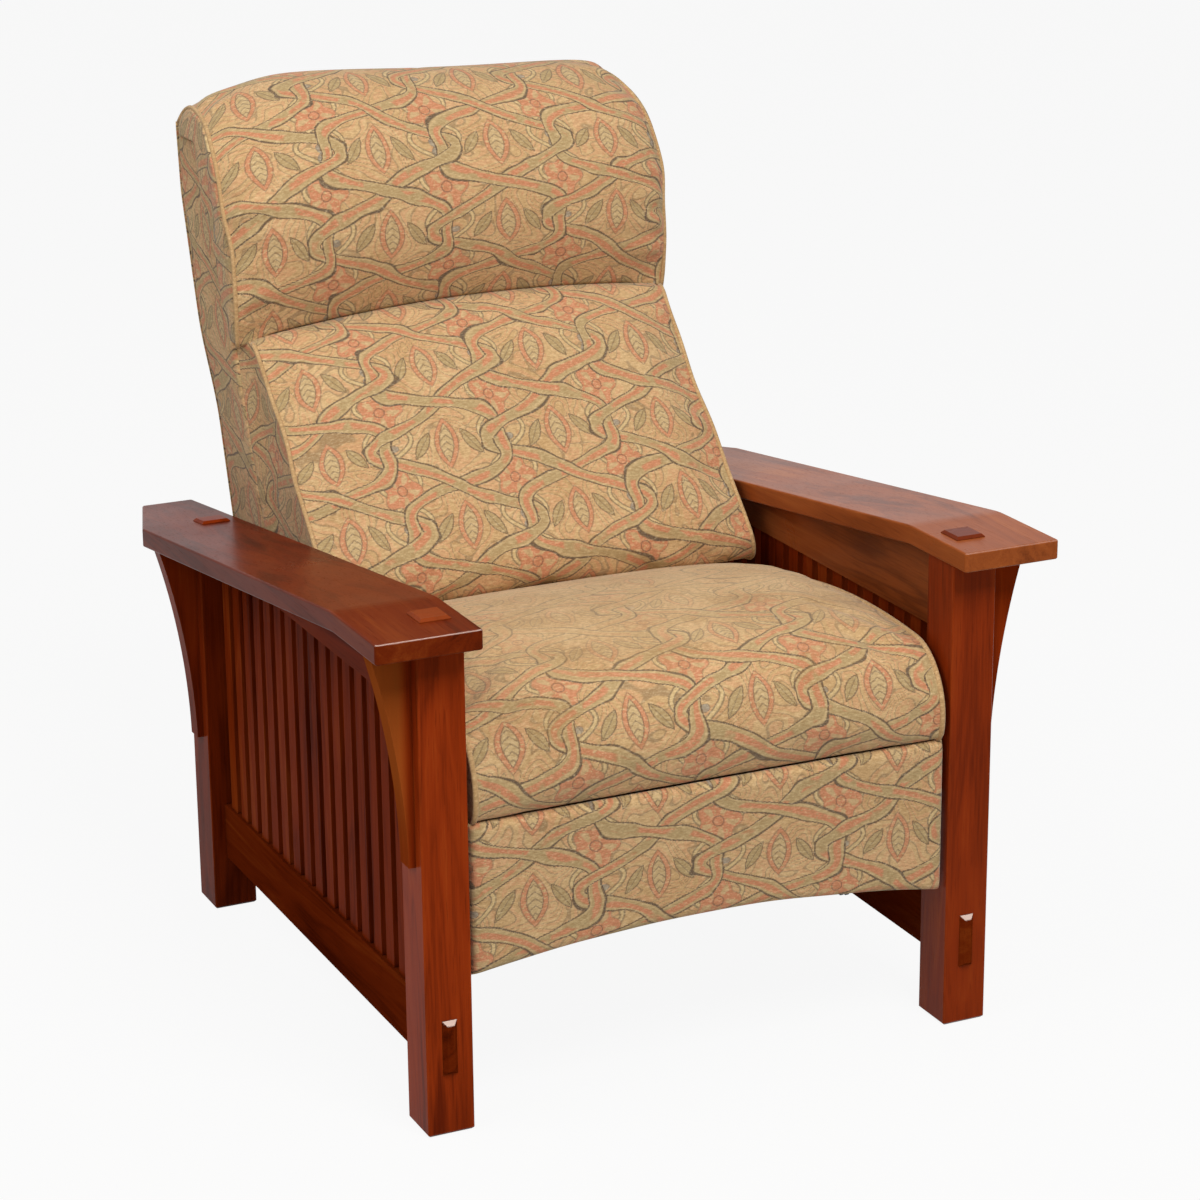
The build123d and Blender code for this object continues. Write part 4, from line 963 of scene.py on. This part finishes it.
def lumbar_side(y, z):
    """Half the width of the lumbar cushion: its face narrows towards the crease and wavers along the seams,
    and its boxings widen back to the frame."""
    share = clamped((z - LUMBAR_HEEL) / (CREASE - LUMBAR_HEEL))
    ahead = clamped((front_line(z, PROUD) - y) / 0.035)
    return BACK_HALF - 0.0015 * share - 0.0125 * share**0.8 * ahead + 0.0050 * ahead * wander(3.0, z, 15.0)


def bowed(points):
    """Lifts the crease below the head cushion just right of its middle, and lets its ends sink."""
    across = np.clip(points[:, 0] / BACK_HALF, -1, 1) - 0.2
    near = np.exp(-(((points[:, 2] - CREASE) / 0.10) ** 2))
    points[:, 2] += near * (0.016 - 0.021 * across**2)
    return points


def settled_lumbar(points):
    """The lumbar cushion as it has settled: it leans to the right, where it is drawn in a little."""
    points = bowed(points)
    rise = np.clip((points[:, 2] - LUMBAR_HEEL) / (CREASE - LUMBAR_HEEL), 0, 1)
    points[:, 0] += 0.0035 * rise
    points[:, 0] -= 0.006 * np.sin(pi * rise) * np.clip(points[:, 0] / BACK_HALF, 0, 1)
    return points


lumbar = Cushion(
    "lumbar_cushion_cover", lumbar_outline, BACK_HALF, lumbar_side, full=0.016, drawn=0.005,
    centre=(0.665, 0.600), counts=(61, 54, 46), origin=(CLOTH_MIDDLE, 0.375), material=UPHOLSTERY, base=0.85,
)
lumbar_points = settled_lumbar(swelled(lumbar, pressure=2.0, cap=0.010, excess=0.008))
lumbar_folds = {"depth": 0.0055, "reach": 0.050, "scale": 23.0, "seed": 4.0}
finish_cushion(lumbar, lumbar_points, "lumbar", "back", lumbar_folds, welt=0.0030)


# Head cushion

def head_side(y, z):
    """Half the width of the head cushion, fullest in the middle and drawn in at its top and crease."""
    rise = max(0.0, (z - 0.96) / 0.09)
    fall = max(0.0, 1 - (z - CREASE) / 0.035)
    full = sin(pi * clamped((z - CREASE) / 0.26))
    return BACK_HALF + 0.008 * full - 0.006 * rise**2 - 0.002 * fall**2 + 0.0055 * wander(5.0, z, 17.0)


def settled_head(points):
    """The head cushion as it has settled: it leans to the right, its left shoulder sinks, and its lower
    corners press into the lumbar cushion."""
    x, z = points[:, 0].copy(), points[:, 2].copy()
    across = np.clip(x / BACK_HALF, -1, 1)
    foot = np.exp(-(((z - CREASE) / 0.02) ** 2)) * np.clip((np.abs(x) - 0.25) / 0.04, 0, 1)
    upper = np.clip((z - 0.90) / 0.12, 0, 1)
    left = np.exp(-(((x + 0.245) / 0.045) ** 2))
    points[:, 0] += 0.005 * np.sin(pi * np.clip((z - CREASE) / 0.28, 0, 1))
    points[:, 2] -= 0.006 * foot + upper * (0.015 * across * (1 - across**2) + 0.007 * left)
    return bowed(points)


head = Cushion(
    "head_cushion_cover", head_outline, BACK_HALF, head_side, full=0.030, drawn=0.005, centre=(0.880, 1.015),
    counts=(61, 52, 50), origin=(CLOTH_MIDDLE, 0.735), material=UPHOLSTERY, base=0.95, power=6, puff=0.006,
)
head_points = settled_head(swelled(head, pressure=2.0, cap=0.012, excess=0.001))
head_folds = {"depth": 0.0085, "reach": 0.050, "scale": 26.0, "seed": 9.0}
finish_cushion(head, head_points, "head", "back", head_folds, welt=0.0030)


# Padded panels: the footrest's front, the back's side covers and its rear cover

def graded(length, edge, count):
    """Places from 0 to a length, close together near both ends."""
    close = [0.0, 0.12 * edge, 0.4 * edge, edge, 1.9 * edge]
    middle = list(np.linspace(3.2 * edge, length - 3.2 * edge, count))
    return np.array(close + middle + [length - c for c in reversed(close)])


def padded_panel(name, place, size, edge, rise, bulge, body, node, origin, count, seed):
    """A panel of cloth over padding. place(a, b, out) gives the point at shares a and b of the panel, out
    from its back plane, and size is the cloth's width and height. The padding is rise thick beyond its
    rounded edge and bulges in the middle."""
    width, height = size
    across, up = graded(width, edge, count[0]), graded(height, edge, count[1])
    columns, rows = len(across), len(up)
    behind = columns * rows
    vertices, faces, uvs, seam = [], [], [], []

    def shoulder(distance):
        """0 at the panel's edge and 1 beyond its rounded shoulder."""
        d = min(1.0, distance / edge)
        return sqrt(max(0.0, 1 - (1 - d) ** 2))

    def add_face(face):
        """One face; the back has the same cloth coordinates as the front."""
        faces.append(face)
        uvs.append([(across[i % columns] + origin[0], up[i % behind // columns] + origin[1]) for i in face])

    grid = [(a, b) for b in up for a in across]
    for a, b in grid:
        near = shoulder(min(a, width - a)) * shoulder(min(b, height - b))
        inside = 0 < a < width and 0 < b < height
        soft = sin(pi * a / width) ** 0.5 * sin(pi * b / height) ** 0.5 if inside else 0.0
        ripple = 0.0008 * smooth_noise(Vector((a * 14 + seed, b * 14, seed)))
        vertices.append(place(a / width, b / height, rise * near + bulge * soft + ripple * near))
        seam.append(min(a, width - a, b, height - b))
    for a, b in grid:
        vertices.append(place(a / width, b / height, 0.0))
        seam.append(0.05)
    for start, turned in ((0, False), (behind, True)):
        for row in range(rows - 1):
            for column in range(columns - 1):
                at = start + row * columns + column
                right, over = (at + columns, at + 1) if turned else (at + 1, at + columns)
                add_face((at, right, at + columns + 1, over))
    numbers = np.arange(behind).reshape(rows, columns)
    border = (numbers[0], numbers[1:, -1], numbers[-1, -2::-1], numbers[-2:0:-1, 0])
    ring = np.concatenate(border).tolist()
    for here, there in zip(ring, ring[1:] + ring[:1]):
        add_face((here, behind + here, behind + there, there))
    declare(mesh_object(name, vertices, faces, uvs, UPHOLSTERY, seam), body, node)


FOOTREST_TOP, FOOTREST_SIDE, FOOTREST_RISE, FOOTREST_HALF = 0.3725, 0.1825, 0.0262, 0.3085
ARCH_RADIUS = (FOOTREST_HALF**2 + FOOTREST_RISE**2) / (2 * FOOTREST_RISE)
PANEL_CLOTH = 0.302 + CLOTH_MIDDLE  # where the left edges of the panels lie on the cloth


def footrest_place(a, b, out):
    """Point of the footrest's padded front: straight above and one long arch below, lower on the right."""
    x = (2 * a - 1) * FOOTREST_HALF
    foot = FOOTREST_SIDE + FOOTREST_RISE - (ARCH_RADIUS - sqrt(ARCH_RADIUS**2 - x**2))
    foot += 0.0015 * wander(2.0, x, 9.0) - 0.0045 * (2 * a - 1)
    return (x, FRONT + 0.052 - out, foot + b * (FOOTREST_TOP - foot))


padded_panel(
    "footrest_cover", footrest_place, size=(0.617, 0.178), edge=0.0085, rise=0.0115, bulge=0.0040,
    body="footrest", node="footrest_pad", origin=(PANEL_CLOTH, 0.098), count=(58, 17), seed=2.0,
)


def flare(z):
    """How far the back widens towards its rear edge above the arms."""
    share = clamped((z - 0.64) / 0.14)
    top = clamped((z - 0.93) / 0.09)
    return 0.009 * share * share * (3 - 2 * share) - 0.006 * top


def side_cover(sign, word):
    """The cover on one side of the back: a wedge between the frame's front line and its rear line."""
    def place(a, b, out):
        z = BACK_BOTTOM + b * (FRAME_TOP - BACK_BOTTOM)
        near = front_line(z)
        if z <= FOOT[1]:
            near = FOOT[0] + 0.042 * (FOOT[1] - z) / (FOOT[1] - BACK_BOTTOM)
        far = rear_line(z) - INNER_REAR
        share = a if sign > 0 else 1 - a
        return (sign * (0.2952 + out + flare(z) * share), FRONT + near + share * (far - near), z)

    padded_panel(
        "side_cover_" + word, place, size=(0.110, 0.658), edge=0.006, rise=0.0042, bulge=0.0018,
        body="back", node="back_side_cover_" + word, origin=(0.55, 0.30), count=(9, 56),
        seed=4.0 + sign,
    )


for sign, word in SIDES:
    side_cover(sign, word)


def back_place(a, b, out):
    """Point of the rear cover, out from its inner face towards the rear."""
    z = BACK_BOTTOM + b * (BACK_HEIGHT - BACK_BOTTOM)
    x = (1 - 2 * a) * (0.3004 + flare(z))
    return (x, FRONT + rear_line(z) - INNER_REAR + out / cos(LEAN), z)


padded_panel(
    "rear_cover", back_place, size=(0.6008, 0.704), edge=0.008, rise=0.0095, bulge=0.0035,
    body="back", node="outer_back_panel", origin=(PANEL_CLOTH, 0.30), count=(44, 50), seed=7.0,
)


# Floor, light and camera

def background_rays(tree):
    """1 where the background is seen, also in a reflection or through glass, and 0 where it gives light."""
    rays = add_node(tree, "LightPath").outputs
    seen = Term(tree, rays["Is Camera Ray"]) + rays["Is Glossy Ray"] + rays["Is Transmission Ray"]
    return seen.math("MINIMUM", 1.0)


def stage_floor():
    """A pale floor that keeps the chair's shadow."""
    mesh = bpy.data.meshes.new("floor")
    reach = 40.0
    corners = [(x * reach, y * reach, 0) for x, y in ((-1, -1), (1, -1), (1, 1), (-1, 1))]
    mesh.from_pydata(corners, [], [(0, 1, 2, 3)])
    floor = add_object("floor", mesh)
    floor.location.z = -0.0004
    material, tree, shader = new_material("floor_pale")
    mottle = noise(tree, object_place(tree), 3.0, 2.0)
    pale = mix(tree, mottle, linear(196, 195, 193), linear(204, 203, 202))
    set_inputs(tree, shader, {"Base Color": pale, "Roughness": 0.85, "Specular IOR Level": 0.1})
    glow = add_node(tree, "Emission")
    blend = {0: background_rays(tree) * 0.92, 1: shader.outputs[0], 2: glow.outputs[0]}
    put(tree, add_node(tree, "MixShader", blend).outputs[0], tree.nodes["Material Output"].inputs[0])
    mesh.materials.append(material)


def lamp(name, place, aim, width, energy, tint):
    """A square soft box turned towards its aim."""
    light = bpy.data.lights.new(name, "AREA")
    light.shape = "SQUARE"
    light.size = width
    light.energy = energy
    light.color = tint
    obj = add_object(name, light)
    obj.location = place
    obj.rotation_euler = (Vector(aim) - Vector(place)).to_track_quat("-Z", "Y").to_euler()


def studio_world():
    """Even light from all round, in front of a white background."""
    world = bpy.data.worlds.new("studio")
    bpy.context.scene.world = world
    world.use_nodes = True
    tree = world.node_tree
    background = tree.nodes["Background"]
    background.inputs["Color"].default_value = (1.0, 1.0, 1.0, 1.0)
    fill, white = 0.24, 1.0
    put(tree, background_rays(tree) * (white - fill) + fill, background.inputs["Strength"])


# Camera of the photograph: its angles and place come from the chair's straight edges
PITCH, YAW, ROLL = radians(18.01), radians(25.05), radians(-0.53)
EYE, LENS, SENSOR = (-1.68057, -3.74712, 1.79460), 102.27, 36.0


def photo_camera():
    """The camera that sees the chair as the photograph shows it."""
    behind = Vector((sin(-YAW) * cos(PITCH), -cos(-YAW) * cos(PITCH), sin(PITCH)))
    right = Vector((cos(-YAW), sin(-YAW), 0.0))
    up = behind.cross(right)
    across = cos(ROLL) * right + sin(ROLL) * up
    upright = -sin(ROLL) * right + cos(ROLL) * up
    data = bpy.data.cameras.new("photo_camera")
    data.sensor_width = SENSOR
    data.lens = LENS
    data.clip_end = 100.0
    camera = add_object("photo_camera", data)
    turn = Matrix((across, upright, behind)).transposed().to_4x4()
    camera.matrix_world = Matrix.Translation(EYE) @ turn
    return camera


stage_floor()
lamp("key", (0.2, -2.9, 4.0), aim=(0.0, -0.1, 0.5), width=1.8, energy=146.0, tint=(1.0, 0.98, 0.95))
lamp("side", (-2.4, -0.5, 3.2), aim=(0.0, 0.1, 0.7), width=2.2, energy=50.0, tint=(1.0, 0.99, 0.97))
studio_world()
bpy.context.scene.camera = photo_camera()
bpy.context.scene.view_settings.view_transform = "Standard"
